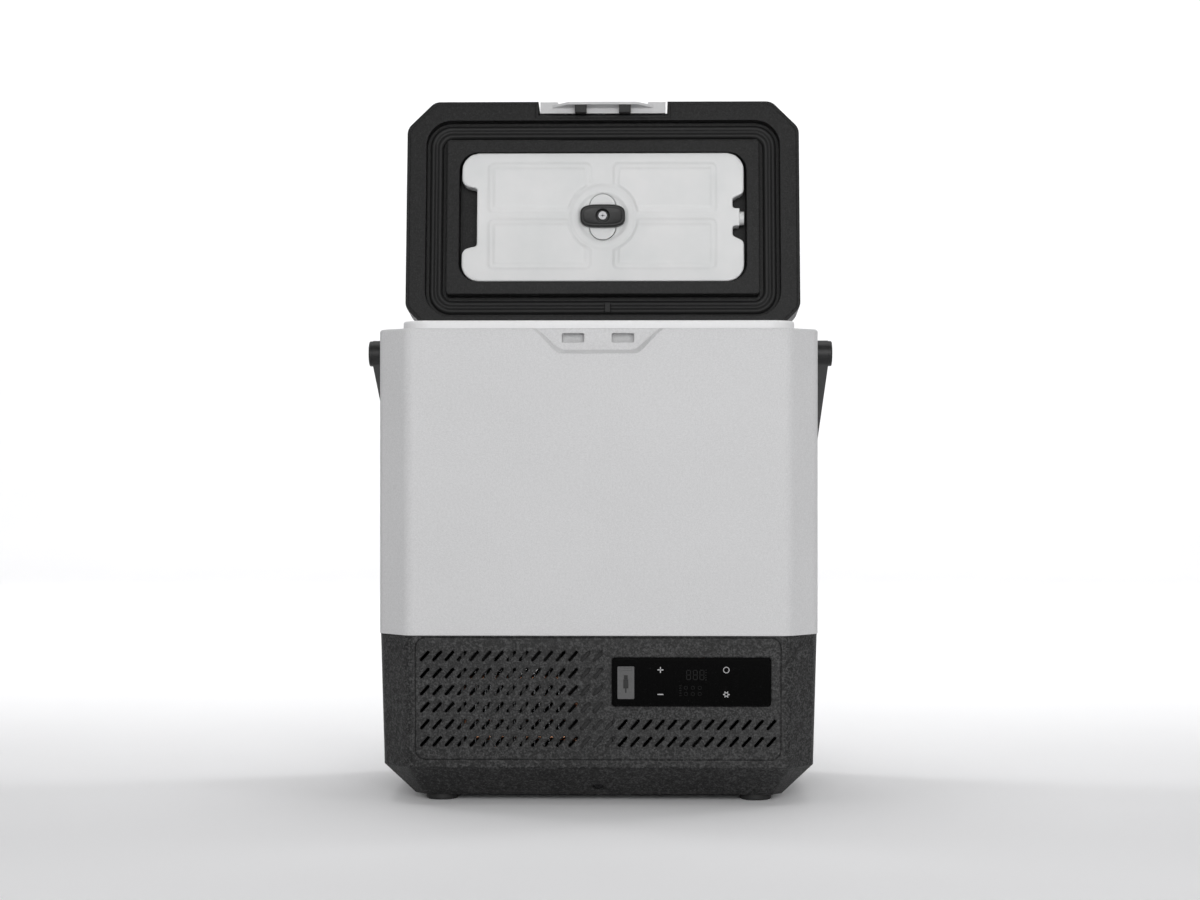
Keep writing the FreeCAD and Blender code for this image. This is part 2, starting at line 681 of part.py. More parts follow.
# ================================================================ machine bay
def compressor():
    base_z = FOOT_H + WALL + TRAY_T
    plate_z = base_z + 8.0
    plate = prism(rect_outline(COMP_PLATE_W, COMP_PLATE_D, 8.0, plate_z, COMP_X, COMP_Y), 2.5)
    mounts = []
    holes = []
    for dx in (-1, 1):
        for dy in (-1, 1):
            at = V(COMP_X + dx * (COMP_PLATE_W / 2 - 9), COMP_Y + dy * (COMP_PLATE_D / 2 - 9), base_z)
            low = rod(7.0, at, Z_AXIS, plate_z - base_z)
            neck = rod(4.5, at, Z_AXIS, plate_z - base_z + 2.5)
            head = rod(6.5, at + V(0, 0, plate_z - base_z + 2.5), Z_AXIS, 2.5)
            mounts.append(fuse([low, neck, head]))
            holes.append(rod(4.5, at, Z_AXIS, 30.0))
    keep("compressor_plate", plate.cut(holes))
    keep("compressor_mounts", group(mounts))
    low = plate_z + 2.5
    top = low + COMP_H
    dome = 22.0
    profile = [V(0, 0, low), V(COMP_R - 14, 0, low)]
    edges = [Part.LineSegment(profile[0], profile[1]).toShape()]
    knee = V(COMP_R - 4.1, 0, low + 4.1)
    edges.append(Part.Arc(profile[1], knee, V(COMP_R, 0, low + 14)).toShape())
    edges.append(Part.LineSegment(V(COMP_R, 0, low + 14), V(COMP_R, 0, top - dome)).toShape())
    crown = V(COMP_R * 0.66, 0, top - dome * 0.25)
    edges.append(Part.Arc(V(COMP_R, 0, top - dome), crown, V(4.0, 0, top)).toShape())
    edges.append(Part.LineSegment(V(4.0, 0, top), V(0, 0, top)).toShape())
    edges.append(Part.LineSegment(V(0, 0, top), V(0, 0, low)).toShape())
    can = Part.Face(Part.Wire(edges)).revolve(V(0, 0, 0), Z_AXIS, 360)
    seam = rod(COMP_R + 2.0, V(0, 0, low + COMP_H * 0.55), Z_AXIS, 3.0)
    can = can.fuse(seam)
    can.translate(V(COMP_X, COMP_Y, 0))
    keep("compressor_can", can.removeSplitter())
    side_x = COMP_X - COMP_R
    box = block(side_x - 14, side_x + 12, COMP_Y - 17, COMP_Y + 17, low + 12, low + 50)
    box = box.makeFillet(3.0, box.Edges)
    keep("terminal_cover", box.cut(can))
    return low, top


def coil_runs():
    """Serpentine of level tube runs joined by half turns, stacked upwards."""
    x0 = FAN_X - FAN_SIZE / 2 + 2
    x1 = FAN_X + FAN_SIZE / 2 - 2
    runs = int((FAN_SIZE - 16) / COIL_PITCH) + 1
    low = FAN_Z - (runs - 1) * COIL_PITCH / 2
    bend = COIL_PITCH / 2
    edges = []
    for i in range(runs):
        z = low + i * COIL_PITCH
        ends = (x0, x1) if i % 2 == 0 else (x1, x0)
        edges.append(Part.LineSegment(V(ends[0], COIL_Y, z), V(ends[1], COIL_Y, z)).toShape())
        if i < runs - 1:
            side = 1 if i % 2 == 0 else -1
            far = V(ends[1] + side * bend, COIL_Y, z + bend)
            edges.append(Part.Arc(V(ends[1], COIL_Y, z), far, V(ends[1], COIL_Y, z + COIL_PITCH)).toShape())
    return Part.Wire(edges), runs, low, x0, x1


def condenser():
    path, runs, low, x0, x1 = coil_runs()
    start = path.Edges[0].valueAt(path.Edges[0].FirstParameter)
    circle = Part.Wire(Part.makeCircle(COIL_R, start, X_AXIS))
    coil = path.makePipeShell([circle], True, False)
    keep("condenser_coil", coil)
    fins = []
    fin_t = 0.5
    count = int((x1 - x0 - 6) / FIN_PITCH)
    plate_z = low - COIL_PITCH * 0.42
    height = (runs - 1 + 0.84) * COIL_PITCH
    fin = block(0, fin_t, COIL_Y - 12, COIL_Y + 12, plate_z, plate_z + height)
    for i in range(runs):
        fin = fin.cut(rod(COIL_R, V(-1, COIL_Y, low + i * COIL_PITCH), X_AXIS, fin_t + 2))
    for i in range(count):
        one = fin.copy()
        one.translate(V(x0 + 3 + i * FIN_PITCH, 0, 0))
        fins.append(one)
    keep("condenser_fins", group(fins))


def fan():
    x, y, z = FAN_X, FAN_Y, FAN_Z
    half = FAN_SIZE / 2
    frame = deep(rect_facing(FAN_SIZE, FAN_SIZE, 6.0, x, y, z), FAN_T)
    bore_r = half - 3.0
    frame = frame.cut(rod(bore_r, V(x, y - 1, z), Y_AXIS, FAN_T + 2))
    hub = rod(15.0, V(x, y + FAN_T - 3.5, z), Y_AXIS, 3.5)
    spokes = [hub]
    for turn in range(4):
        arm = block(-bore_r - 1, 0, -2.0, 2.0, -2.0, 2.0)
        arm.translate(V(x, y + FAN_T - 2.0, z))
        arm.rotate(V(x, y, z), Y_AXIS, 45 + 90 * turn)
        spokes.append(arm)
    axle = rod(1.5, V(x, y + 3.0, z), Y_AXIS, FAN_T - 6.5)
    corner = half - 6.0
    holes = []
    screws = []
    for sx in (-1, 1):
        for sz in (-1, 1):
            at = V(x + sx * corner, y, z + sz * corner)
            holes.append(rod(2.0, at - V(0, 1, 0), Y_AXIS, FAN_T + 2))
            screws.append(placed(pan_screw(2.0, 3.6, FAN_T + 4.0, 2.0), V(0, -1, 0), at))
    keep("fan_frame", fuse([frame, axle] + spokes).cut(holes))
    keep("fan_screws", group(screws))
    rotor_hub = rod(16.0, V(x, y + 2.0, z), Y_AXIS, FAN_T - 7.0)
    blades = []
    for i in range(7):
        blade = block(12.0, bore_r - 1.2, -9.0, 9.0, -0.7, 0.7)
        blade.rotate(V(0, 0, 0), X_AXIS, 38)
        blade.translate(V(x, y + FAN_T / 2 - 1.0, z))
        blade.rotate(V(x, y, z), Y_AXIS, i * 360.0 / 7)
        blades.append(blade)
    limit = rod(bore_r - 1.2, V(x, y + 1.5, z), Y_AXIS, FAN_T - 6.0)
    rotor = fuse([rotor_hub] + blades).common(limit)
    keep("fan_rotor", rotor.cut(rod(1.5 + RUN, V(x, y - 5, z), Y_AXIS, FAN_T + 10)))


def refrigeration_lines(low, top):
    """Drier, discharge line and suction line."""
    drier_x = COMP_X - COMP_R - 34.0
    drier_y = HALF_D - 34.0
    body = rod(8.0, V(drier_x, drier_y, low + 18), Z_AXIS, 60)
    necks = [rod(3.0, V(drier_x, drier_y, low + 8), Z_AXIS, 80)]
    keep("filter_drier", fuse([body] + necks))
    out_y = COMP_Y - COMP_R - 12.0
    start = V(COMP_X - 8, COMP_Y - COMP_R + 1.0, low + 30)
    coil_low, x1 = coil_runs()[2], coil_runs()[4]
    bend_x = x1 + 22.0
    line = [
        V(start.x, start.y - 2, start.z), V(start.x, out_y, start.z), V(bend_x, out_y - 8, start.z),
        V(bend_x, COIL_Y, coil_low + 4), V(x1 + 14.0, COIL_Y, coil_low - 9),
    ]
    keep("discharge_line", tube_path(line, 2.4).cut(PIECES["compressor_can"]))
    up = [
        V(COMP_X + 12, COMP_Y - COMP_R + 1.0, top - 50), V(COMP_X + 12, out_y, top - 50),
        V(COMP_X + 12, out_y, SEAM_Z),
    ]
    keep("suction_line", tube_path(up, 3.2).cut(PIECES["compressor_can"]))


def electrics():
    board_x = HALF_W - 22.0
    board = block(board_x, board_x + 1.6, FRONT + 59, HALF_D - 75, 34, 118)
    parts = [
        block(board_x - 12, board_x, -50, -24, 44, 78), block(board_x - 7, board_x, -14, 8, 44, 62),
        rod(6.0, V(board_x - 17, -38, 96), X_AXIS, 17), rod(6.0, V(board_x - 17, -18, 96), X_AXIS, 17),
        block(board_x - 9, board_x, 18, 38, 78, 104),
    ]
    keep("power_board", fuse([board] + parts))
    y0 = base_wall_y(INLET_Z) - 16.0
    flange = deep(inlet_wire(2.5, base_wall_y(INLET_Z) - WALL - 2.0), 1.6)
    shell = deep(inlet_wire(-FIT, y0), 17.0)
    well = deep(inlet_wire(-3.0, y0 + 4.0), 20.0)
    pins = [rod(1.6, V(INLET_X + dx, y0, INLET_Z), Y_AXIS, 14.0) for dx in (-7.0, 7.0)]
    keep("dc_inlet_socket", fuse([flange.fuse(shell).cut(well)] + pins))


# ================================================================ hinges of the lid
def hinge_units():
    brackets = []
    lid_arms = []
    pins = []
    cabinet_screws = []
    lid_screws = []
    gap = 0.3
    half = KNUCKLE_L / 2
    for x in (-HINGE_X, HINGE_X):
        axis_at = V(x, HINGE_Y, HINGE_Z)
        leaf_half = half + gap + EAR_L
        leaf = block(x - leaf_half, x + leaf_half, HALF_D, HALF_D + LEAF_T, HINGE_Z - 34, HINGE_Z - 7)
        ears = [leaf]
        for side in (-1, 1):
            e0 = x + side * (half + gap)
            e1 = e0 + side * EAR_L
            a, b = min(e0, e1), max(e0, e1)
            ears.append(rod(KNUCKLE_R, V(a, HINGE_Y, HINGE_Z), X_AXIS, EAR_L))
            ears.append(block(a, b, HALF_D, HINGE_Y + 3.5, HINGE_Z - 12, HINGE_Z - 1))
        bracket = fuse(ears).cut(rod(HINGE_PIN_R, axis_at - V(40, 0, 0), X_AXIS, 80))
        lid_leaf = block(x - half, x + half, HALF_D, HALF_D + LEAF_T, HINGE_Z + 7, HINGE_Z + 32)
        web = block(x - half, x + half, HALF_D, HINGE_Y + 3.5, HINGE_Z + 1, HINGE_Z + 12)
        knuckle = rod(KNUCKLE_R, V(x - half, HINGE_Y, HINGE_Z), X_AXIS, KNUCKLE_L)
        arm = fuse([lid_leaf, web, knuckle])
        arm = arm.cut(rod(HINGE_PIN_R + RUN, axis_at - V(40, 0, 0), X_AXIS, 80))
        screw = pan_screw(1.8, 3.4, 9.0, 1.6)
        for dx in (-12.0, 12.0):
            at = V(x + dx, HALF_D + LEAF_T, HINGE_Z - 23)
            cabinet_screws.append(placed(screw, Y_AXIS, at))
        for dx in (-5.5, 5.5):
            at = V(x + dx, HALF_D + LEAF_T, HINGE_Z + 23)
            lid_screws.append(placed(screw, Y_AXIS, at))
        brackets.append(bracket.cut(screw_shanks(cabinet_screws, 1.8)))
        lid_arms.append(arm.cut(screw_shanks(lid_screws, 1.8)))
        pins.append(rod(HINGE_PIN_R, V(x - leaf_half, HINGE_Y, HINGE_Z), X_AXIS, 2 * leaf_half))
    keep("hinge_brackets", group(brackets))
    keep("lid_hinge_arms", group(lid_arms))
    keep("hinge_pins", group(pins))
    keep("hinge_screws", group(cabinet_screws))
    keep("lid_screws", group(lid_screws))
    for wall, screws in (("upper_housing", cabinet_screws), ("cabinet_foam", cabinet_screws)):
        PIECES[wall] = PIECES[wall].cut(screw_shanks(screws, 1.8))
    return lid_screws


def screw_shanks(screws, radius):
    """Round holes along placed screws whose shanks run towards -Y."""
    return [rod(radius, s.Placement.Base - V(0, 14.0, 0), Y_AXIS, 15.0) for s in screws]


# ================================================================ carry handle
def swung(shape):
    """Turn a piece drawn with the arms pointing straight back down to the folded angle."""
    out = shape.copy()
    out.rotate(V(0, 0, PIVOT_Z), X_AXIS, -HANDLE_FOLD)
    return out


def carry_handle():
    inner = HALF_W + ARM_GAP
    outer = inner + ARM_T
    parts = []
    for side in (-1, 1):
        x = inner if side > 0 else -outer
        disc = rod(ARM_R, V(x, 0, PIVOT_Z), X_AXIS, ARM_T)
        end = rod(BAR_R, V(x, HANDLE_L, PIVOT_Z), X_AXIS, ARM_T)
        corners = [
            V(x, 0, PIVOT_Z - ARM_R), V(x, HANDLE_L, PIVOT_Z - BAR_R),
            V(x, HANDLE_L, PIVOT_Z + BAR_R), V(x, 0, PIVOT_Z + ARM_R),
        ]
        web = Part.Face(Part.makePolygon(corners + corners[:1])).extrude(V(ARM_T, 0, 0))
        parts += [disc, end, web]
    bar = rod(BAR_R, V(-outer, HANDLE_L, PIVOT_Z), X_AXIS, 2 * outer)
    handle = fuse(parts + [bar])
    bevels = []
    for side in (-1, 1):
        tip = V(side * (outer + 1), HANDLE_L + BAR_R + 1, PIVOT_Z - 20)
        bevel = [tip, tip + V(-side * 16, 0, 0), tip + V(0, -16, 0), tip]
        bevels.append(Part.Face(Part.makePolygon(bevel)).extrude(V(0, 0, 40)))
    bores = []
    for side in (-1, 1):
        start = V(side * (inner - 1), 0, PIVOT_Z)
        bores.append(rod(PIVOT_R + RUN, start, V(side, 0, 0), ARM_T + 2))
        bores.append(rod(PIVOT_HEAD_R + 0.4, V(side * (outer - 4.0), 0, PIVOT_Z), V(side, 0, 0), 6.0))
    grip_x = GRIP_L / 2
    groove = rod(BAR_R + 1, V(-grip_x, HANDLE_L, PIVOT_Z), X_AXIS, GRIP_L)
    core = rod(BAR_R - GRIP_T, V(-grip_x, HANDLE_L, PIVOT_Z), X_AXIS, GRIP_L)
    handle = handle.cut(bevels + bores + [groove.cut(core)])
    keep("carry_handle", swung(handle.removeSplitter()))
    sleeve = rod(BAR_R + 0.8, V(-grip_x, HANDLE_L, PIVOT_Z), X_AXIS, GRIP_L).cut(core)
    keep("handle_grip", swung(sleeve))
    caps = []
    pivots = []
    washers = []
    for side in (-1, 1):
        out = V(side, 0, 0)
        cap = rod(ARM_R - 0.5, V(side * outer, 0, PIVOT_Z), out, CAP_T)
        cap = cap.makeFillet(1.2, [e for e in cap.Edges if abs(e.BoundBox.Center.x) > outer + CAP_T - 0.1])
        caps.append(cap)
        shank = rod(PIVOT_R, V(side * (HALF_W - 11.0), 0, PIVOT_Z), out, 11.0 + ARM_GAP + ARM_T - 3.7)
        head = rod(PIVOT_HEAD_R, V(side * (outer - 3.7), 0, PIVOT_Z), out, 3.2)
        pivots.append(fuse([shank, head]))
        ring = rod(ARM_R - 1.5, V(side * HALF_W, 0, PIVOT_Z), out, ARM_GAP - 0.2)
        washers.append(ring.cut(rod(PIVOT_R, V(side * HALF_W, 0, PIVOT_Z), out, ARM_GAP)))
    keep("handle_caps", group([swung(c) for c in caps]))
    keep("handle_pivots", group(pivots))
    keep("handle_washers", group(washers))


# ================================================================ lid, drawn closed
def notch(grow):
    """Space in the lid's front wall that holds the latch lever."""
    half = LATCH_W / 2 + NOTCH_GAP + grow
    top = BODY_TOP + NOTCH_H + grow
    return block(-half, half, FRONT - 5, FRONT + NOTCH_D + grow, LID_LOW - 5, top)


def latch_pin_rod(radius, length):
    start = V(-length / 2, FRONT + LATCH_PIN_BACK, BODY_TOP + LATCH_PIN_UP)
    return rod(radius, start, X_AXIS, length)


def bevelled_block(wire, height, bevel):
    solid = prism(wire, height)
    top = solid.BoundBox.ZMax
    edges = [e for e in solid.Edges if e.BoundBox.ZMin > top - 0.01]
    return solid.makeChamfer(bevel, edges)


def lid_shell(lid_screws):
    outer = bevelled_block(body_outline(0, LID_LOW), LID_TOP - LID_LOW, LID_BEVEL)
    inner_bevel = LID_BEVEL - WALL * (2 - math.sqrt(2))
    void = bevelled_block(body_outline(WALL, LID_LOW - 1), LID_TOP - WALL - LID_LOW + 1, inner_bevel)
    void = void.cut(notch(WALL))
    panel = prism(rect_outline(BODY_W - 84, BODY_D - 84, 20.0, LID_TOP - 1.2), 3.0)
    shell = outer.cut([void, notch(0), panel, latch_pin_rod(LATCH_PIN_R, LATCH_PIN_L)])
    keep("lid_outer_shell", shell.cut(screw_shanks(lid_screws, 1.8)))
    return void


def lid_inside(void, lid_screws):
    skin_top = BODY_TOP + CHANNEL_TOP + LINER_WALL
    roof = BODY_TOP + PACK_ROOF
    plug = inset_rect(PLUG_INSET, 4.0, PLUG_Z, skin_top - PLUG_Z)
    soft = [e for e in plug.Edges if e.BoundBox.ZMax < PLUG_Z + 0.01]
    plug = plug.makeFillet(1.5, soft)
    plate = prism(body_outline(WALL, LID_LOW), skin_top - LID_LOW)
    channel = inset_rect(CHANNEL_INSET, CHANNEL_R, LID_LOW - 1, BODY_TOP + CHANNEL_TOP - LID_LOW + 1)
    pan_inset = PACK_INSET - LINER_WALL
    pan = inset_rect(pan_inset, PACK_R + LINER_WALL, PLUG_Z + LINER_WALL, roof - PLUG_Z)
    recess = inset_rect(PACK_INSET, PACK_R, PLUG_Z - 1, roof - PLUG_Z + 1)
    border = prism(body_outline(WALL + LINER_WALL, LID_LOW + LINER_WALL), skin_top - LID_LOW - LINER_WALL)
    border = border.cut([inset_rect(CHANNEL_INSET - LINER_WALL, CHANNEL_R + LINER_WALL, LID_LOW, 40.0)])
    border = border.cut(notch(WALL + LINER_WALL))
    core_z = PLUG_Z + LINER_WALL
    core = inset_rect(PLUG_INSET + LINER_WALL, 2.5, core_z, skin_top - core_z)
    core = core.cut(inset_rect(pan_inset, PACK_R + LINER_WALL, core_z - 1, 60.0))
    skin = plate.cut(channel).fuse([plug, pan]).cut([border, core, recess, notch(WALL)])
    keep("lid_inner_panel", skin.removeSplitter())
    upper = void.common(block(-HALF_W, HALF_W, -HALF_D, HALF_D, skin_top, LID_TOP)).cut(pan)
    foam = upper.fuse([border, core]).removeSplitter()
    foam = foam.cut(screw_shanks(lid_screws, 1.8) + [notch(WALL)])
    keep("lid_foam", foam)


def gasket():
    low = BODY_TOP + COLLAR_H + GASKET_GAP
    top = BODY_TOP + CHANNEL_TOP
    outer = inset_rect(GASKET_OUT, GASKET_R, low, top - low)
    inner = inset_rect(GASKET_IN, GASKET_R - 12.0, low - 1, top - low + 2)
    groove = inset_rect(GASKET_OUT + 5.0, GASKET_R - 5.0, low - 1, 2.0)
    groove = groove.cut(inset_rect(GASKET_OUT + 8.0, GASKET_R - 8.0, low - 2, 4.0))
    band_y = HALF_D - (GASKET_OUT + GASKET_IN) / 2
    width = GASKET_IN - GASKET_OUT - 4.0
    tab = block(2.2, 7.6, band_y - width / 2, band_y + width / 2, low, top)
    keep("gasket_joint", tab)
    keep("lid_gasket", outer.cut([inner, groove, tab]))


def pack_outline(z):
    """Ice pack in plan: a wide grip notch on the left, a filler neck between two nicks on the right."""
    right = PACK_W / 2
    half = PACK_D / 2
    shelf = right - 11.5
    grip = -right + GRIP_DEPTH
    mouth = half - GRIP_SHOULDER
    corner = min(PACK_CORNER, GRIP_SHOULDER * 0.55)
    corners = [
        V(-right, -half, z), V(right, -half, z), V(right, -25.0, z), V(shelf, -19.5, z),
        V(shelf, -9.0, z), V(right - 4.5, -9.0, z), V(right - 4.5, 9.0, z), V(shelf, 9.0, z),
        V(shelf, 19.5, z), V(right, 25.0, z), V(right, half, z), V(-right, half, z),
        V(-right, mouth, z), V(grip, mouth - 3, z), V(grip, 3 - mouth, z), V(-right, -mouth, z),
    ]
    radii = [corner, corner, 6.0, 1.0, 1.0, 0.8, 0.8, 1.0, 1.0, 6.0, corner, corner, 9.0, 2.0, 2.0, 9.0]
    return rounded_outline(corners, radii)


def boss_outline(grow, z):
    width = BOSS_W + 2 * grow
    return rect_outline(width, BOSS_L + 2 * grow, width / 2 - 0.01, z)


def ice_pack_set():
    face = PLUG_Z + 1.5
    roof = BODY_TOP + PACK_ROOF
    pack = prism(pack_outline(face), PACK_T)
    keep("ice_pack", pack.cut(prism(boss_outline(0.5, face - 1), PACK_T + 2)))
    cap_x = PACK_W / 2 - 4.5
    cap = rod(7.0, V(cap_x, 0, face + PACK_T / 2), X_AXIS, 4.5)
    keep("ice_pack_cap", cap)
    boss = prism(boss_outline(0, face), roof - face)
    keep("retainer_boss", boss.cut(rod(KNOB_SCREW_R, V(0, 0, face - 1), Z_AXIS, 13.0)))
    low = face - 0.3 - KNOB_T
    knob = prism(rect_outline(KNOB_L, KNOB_W, 9.0, low), KNOB_T)
    knob = knob.makeFillet(1.6, [e for e in knob.Edges if e.BoundBox.ZMax < low + 0.01])
    well = rod(7.6, V(0, 0, low - 1), Z_AXIS, 4.5)
    knob = knob.cut([well, rod(KNOB_SCREW_R + RUN, V(0, 0, low), Z_AXIS, 20)])
    keep("retainer_knob", knob)
    screw = pan_screw(KNOB_SCREW_R, 4.2, face + 11.0 - low - 3.4, 2.2)
    keep("knob_screw", placed(screw, V(0, 0, -1), V(0, 0, low + 3.4)))


def latch():
    pin_y = FRONT + LATCH_PIN_BACK
    pin_z = BODY_TOP + LATCH_PIN_UP
    front = FRONT + 0.3
    low = BODY_TOP + 1.2
    profile = [
        V(0, front, low), V(0, front, pin_z + 6.5), V(0, pin_y + 2.5, pin_z + 6.5),
        V(0, pin_y + 5.4, pin_z + 2.0), V(0, pin_y + 5.4, low), V(0, front, low),
    ]
    block_face = Part.Face(Part.makePolygon(profile))
    block_face.translate(V(-LATCH_W / 2, 0, 0))
    lever = block_face.extrude(V(LATCH_W, 0, 0))
    scoop_wire = rect_facing(LATCH_W - 36, 40.0, 5.0, 0, FRONT - 1, low + 8.0)
    lever = lever.cut(deep(scoop_wire, 1.3 + 1.8))
    hollow = block(-LATCH_W / 2 + 3, LATCH_W / 2 - 3, pin_y - 1.5, pin_y + 8, low + 3.5, pin_z - 6)
    ribs = [block(x - 1.2, x + 1.2, front + 4, pin_y + 5.4, low + 2, pin_z - 5) for x in (-38.0, 0.0, 38.0)]
    lever = lever.cut(hollow).fuse(ribs)
    tongue_y = FRONT + RECESS_DEPTH - TONGUE_GAP - TONGUE_T
    half_top = RECESS_TOP_W / 2 - 7.0
    half_low = RECESS_FLOOR_W / 2
    z_low = BODY_TOP - TONGUE_DROP
    tongue_wire = rounded_outline(
        [V(-half_low, tongue_y, z_low), V(half_low, tongue_y, z_low), V(half_top, tongue_y, low + 2),
         V(-half_top, tongue_y, low + 2)], [5.0, 5.0, 0.0, 0.0])
    tongue = deep(tongue_wire, TONGUE_T)
    slot = block(-9, 9, pin_y - 4.6, pin_y + 9, pin_z - 4.6, pin_z + 9)
    lever = lever.fuse(tongue).cut([slot, latch_pin_rod(LATCH_PIN_R + RUN, LATCH_W + 4)])
    keep("latch_lever", lever.removeSplitter())
    hooks = []
    hook_z = BODY_TOP - POCKET_DROP - POCKET_H / 2
    nose_y = FRONT + RECESS_DEPTH + HOOK_REACH
    for x in (-HOOK_SPACING / 2, HOOK_SPACING / 2):
        y0 = tongue_y + TONGUE_T
        hook = block(x - HOOK_W / 2, x + HOOK_W / 2, y0, nose_y, hook_z - 3.2, hook_z + 3.2)
        nose = [e for e in hook.Edges if e.BoundBox.YMin > nose_y - 0.1]
        hooks.append(hook.makeChamfer(1.2, nose))
    keep("latch_hooks", group(hooks))
    keep("latch_pin", latch_pin_rod(LATCH_PIN_R, LATCH_PIN_L))
    path = Part.makeHelix(2.0, 14.0, 3.4)
    start = Part.Wire(Part.makeCircle(0.45, V(3.4, 0, 0), Y_AXIS))
    spring = Part.Wire(path.Edges).makePipeShell([start], True, True)
    keep("latch_spring", placed(spring, X_AXIS, V(-7.0, pin_y, pin_z)))


# ================================================================ build and write
LID_NODES = [
    "lid_outer_shell", "lid_inner_panel", "lid_foam", "lid_gasket", "gasket_joint", "ice_pack",
    "ice_pack_cap", "retainer_boss", "retainer_knob", "knob_screw", "latch_lever", "latch_hooks",
    "latch_pin", "latch_spring", "lid_hinge_arms", "lid_screws",
]


def build_all():
    core = upper_housing()
    tub = chamber()
    insulation(core, tub)
    base_housing()
    panels()
    control_panel()
    tray_and_feet()
    low, top = compressor()
    condenser()
    fan()
    refrigeration_lines(low, top)
    electrics()
    lid_screws = hinge_units()
    carry_handle()
    void = lid_shell(lid_screws)
    lid_inside(void, lid_screws)
    gasket()
    ice_pack_set()
    latch()


def write_all():
    os.makedirs("parts", exist_ok=True)
    for name, shape in PIECES.items():
        out = shape.copy()
        if name in LID_NODES:
            out.rotate(V(0, HINGE_Y, HINGE_Z), X_AXIS, -OPEN_ANGLE)
        out.exportStep("parts/" + name + ".step")
        solids = len(out.Solids)
        print(name, "solids", solids, "valid", out.isValid(), "volume", round(out.Volume))


build_all()
write_all()
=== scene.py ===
"""Looks of the compressor cooler fridge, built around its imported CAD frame.

Metres, X to the right, Y to the back, Z up. MM turns millimetres into metres. Lid pieces are
drawn with the lid closed and then turned about the lid's hinge to its open stop, as the CAD
pieces are.
"""
import bpy
import bmesh
import json
import math
from mathutils import Matrix, Vector


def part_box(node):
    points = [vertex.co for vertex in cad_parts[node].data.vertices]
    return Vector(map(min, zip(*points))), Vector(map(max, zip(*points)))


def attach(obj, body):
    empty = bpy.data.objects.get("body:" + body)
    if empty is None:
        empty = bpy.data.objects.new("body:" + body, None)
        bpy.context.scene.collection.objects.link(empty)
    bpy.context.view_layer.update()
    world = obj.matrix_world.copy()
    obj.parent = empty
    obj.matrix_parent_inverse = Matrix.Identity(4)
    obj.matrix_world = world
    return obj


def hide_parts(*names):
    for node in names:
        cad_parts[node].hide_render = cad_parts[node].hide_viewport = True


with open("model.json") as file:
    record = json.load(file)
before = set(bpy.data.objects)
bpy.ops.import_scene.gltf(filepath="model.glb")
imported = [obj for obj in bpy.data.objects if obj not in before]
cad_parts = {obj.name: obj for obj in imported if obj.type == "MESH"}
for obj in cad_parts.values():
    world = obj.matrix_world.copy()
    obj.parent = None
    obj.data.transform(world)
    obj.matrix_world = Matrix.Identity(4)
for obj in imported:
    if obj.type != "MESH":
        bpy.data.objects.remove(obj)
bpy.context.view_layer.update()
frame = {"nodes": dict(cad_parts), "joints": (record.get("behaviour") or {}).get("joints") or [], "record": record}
NODES = frame["nodes"]
JOINTS = {j["name"]: j for j in frame["joints"]}
NODE_SLOT = {s["node"]: s["material_slot"] for s in frame["record"]["subparts"]}
MM = 0.001

# ------------------------------------------------------------------ places from the frame
HINGE = Vector(JOINTS["lid_hinge"]["pos_m"])
OPENING = math.radians(JOINTS["lid_hinge"]["range_deg"][1])
TO_OPEN = Matrix.Translation(HINGE) @ Matrix.Rotation(-OPENING, 4, "X") @ Matrix.Translation(-HINGE)
TO_CLOSED = TO_OPEN.inverted()
GRILLE_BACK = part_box("front_grille")[1].y / MM


def closed_box(node):
    """Lowest and highest corner of a lid node with the lid closed."""
    points = [TO_CLOSED @ v.co for v in NODES[node].data.vertices]
    low = Vector([min(p[i] for p in points) for i in range(3)])
    high = Vector([max(p[i] for p in points) for i in range(3)])
    return low, high


# ------------------------------------------------------------------ shader helpers
NOISE_LOW = 0.3  # nearly all of a noise texture's values lie between these two
NOISE_HIGH = 0.7
BLUE_LEAN = 1.01  # greys lean a hair to blue


def new_material(name):
    mat = bpy.data.materials.new(name)
    mat.use_nodes = True
    tree = mat.node_tree
    return mat, tree, tree.nodes["Principled BSDF"]


def add_node(tree, kind, **values):
    """New node with its inputs, or else its own attributes, set by name."""
    node = tree.nodes.new(kind)
    for key, value in values.items():
        if key in node.inputs:
            node.inputs[key].default_value = value
        else:
            setattr(node, key, value)
    return node


def object_coords(tree):
    return tree.nodes.new("ShaderNodeTexCoord").outputs["Object"]


def noise(tree, coords, scale, detail=2.0, rough=0.5):
    node = add_node(tree, "ShaderNodeTexNoise", Scale=scale, Detail=detail, Roughness=rough)
    tree.links.new(coords, node.inputs["Vector"])
    return node.outputs["Fac"]


def spread(tree, factor, low, high):
    """Map a noise factor to a range of values."""
    node = tree.nodes.new("ShaderNodeMapRange")
    node.inputs["From Min"].default_value = NOISE_LOW
    node.inputs["From Max"].default_value = NOISE_HIGH
    node.inputs["To Min"].default_value = low
    node.inputs["To Max"].default_value = high
    tree.links.new(factor, node.inputs["Value"])
    return node.outputs["Result"]


def shade(grey, factor):
    """Lighter or darker version of a grey value or a colour."""
    if isinstance(grey, tuple):
        return tuple(channel * factor for channel in grey)
    return grey * factor


def ramp(tree, factor, stops):
    """Colour ramp through (place, grey or colour) stops."""
    node = tree.nodes.new("ShaderNodeValToRGB")
    elements = node.color_ramp.elements
    while len(elements) < len(stops):
        elements.new(0.5)
    for element, (place, grey) in zip(elements, stops):
        element.position = place
        colour = grey if isinstance(grey, tuple) else (grey, grey, grey * BLUE_LEAN)
        element.color = (*colour, 1.0)
    tree.links.new(factor, node.inputs["Fac"])
    return node.outputs["Color"]


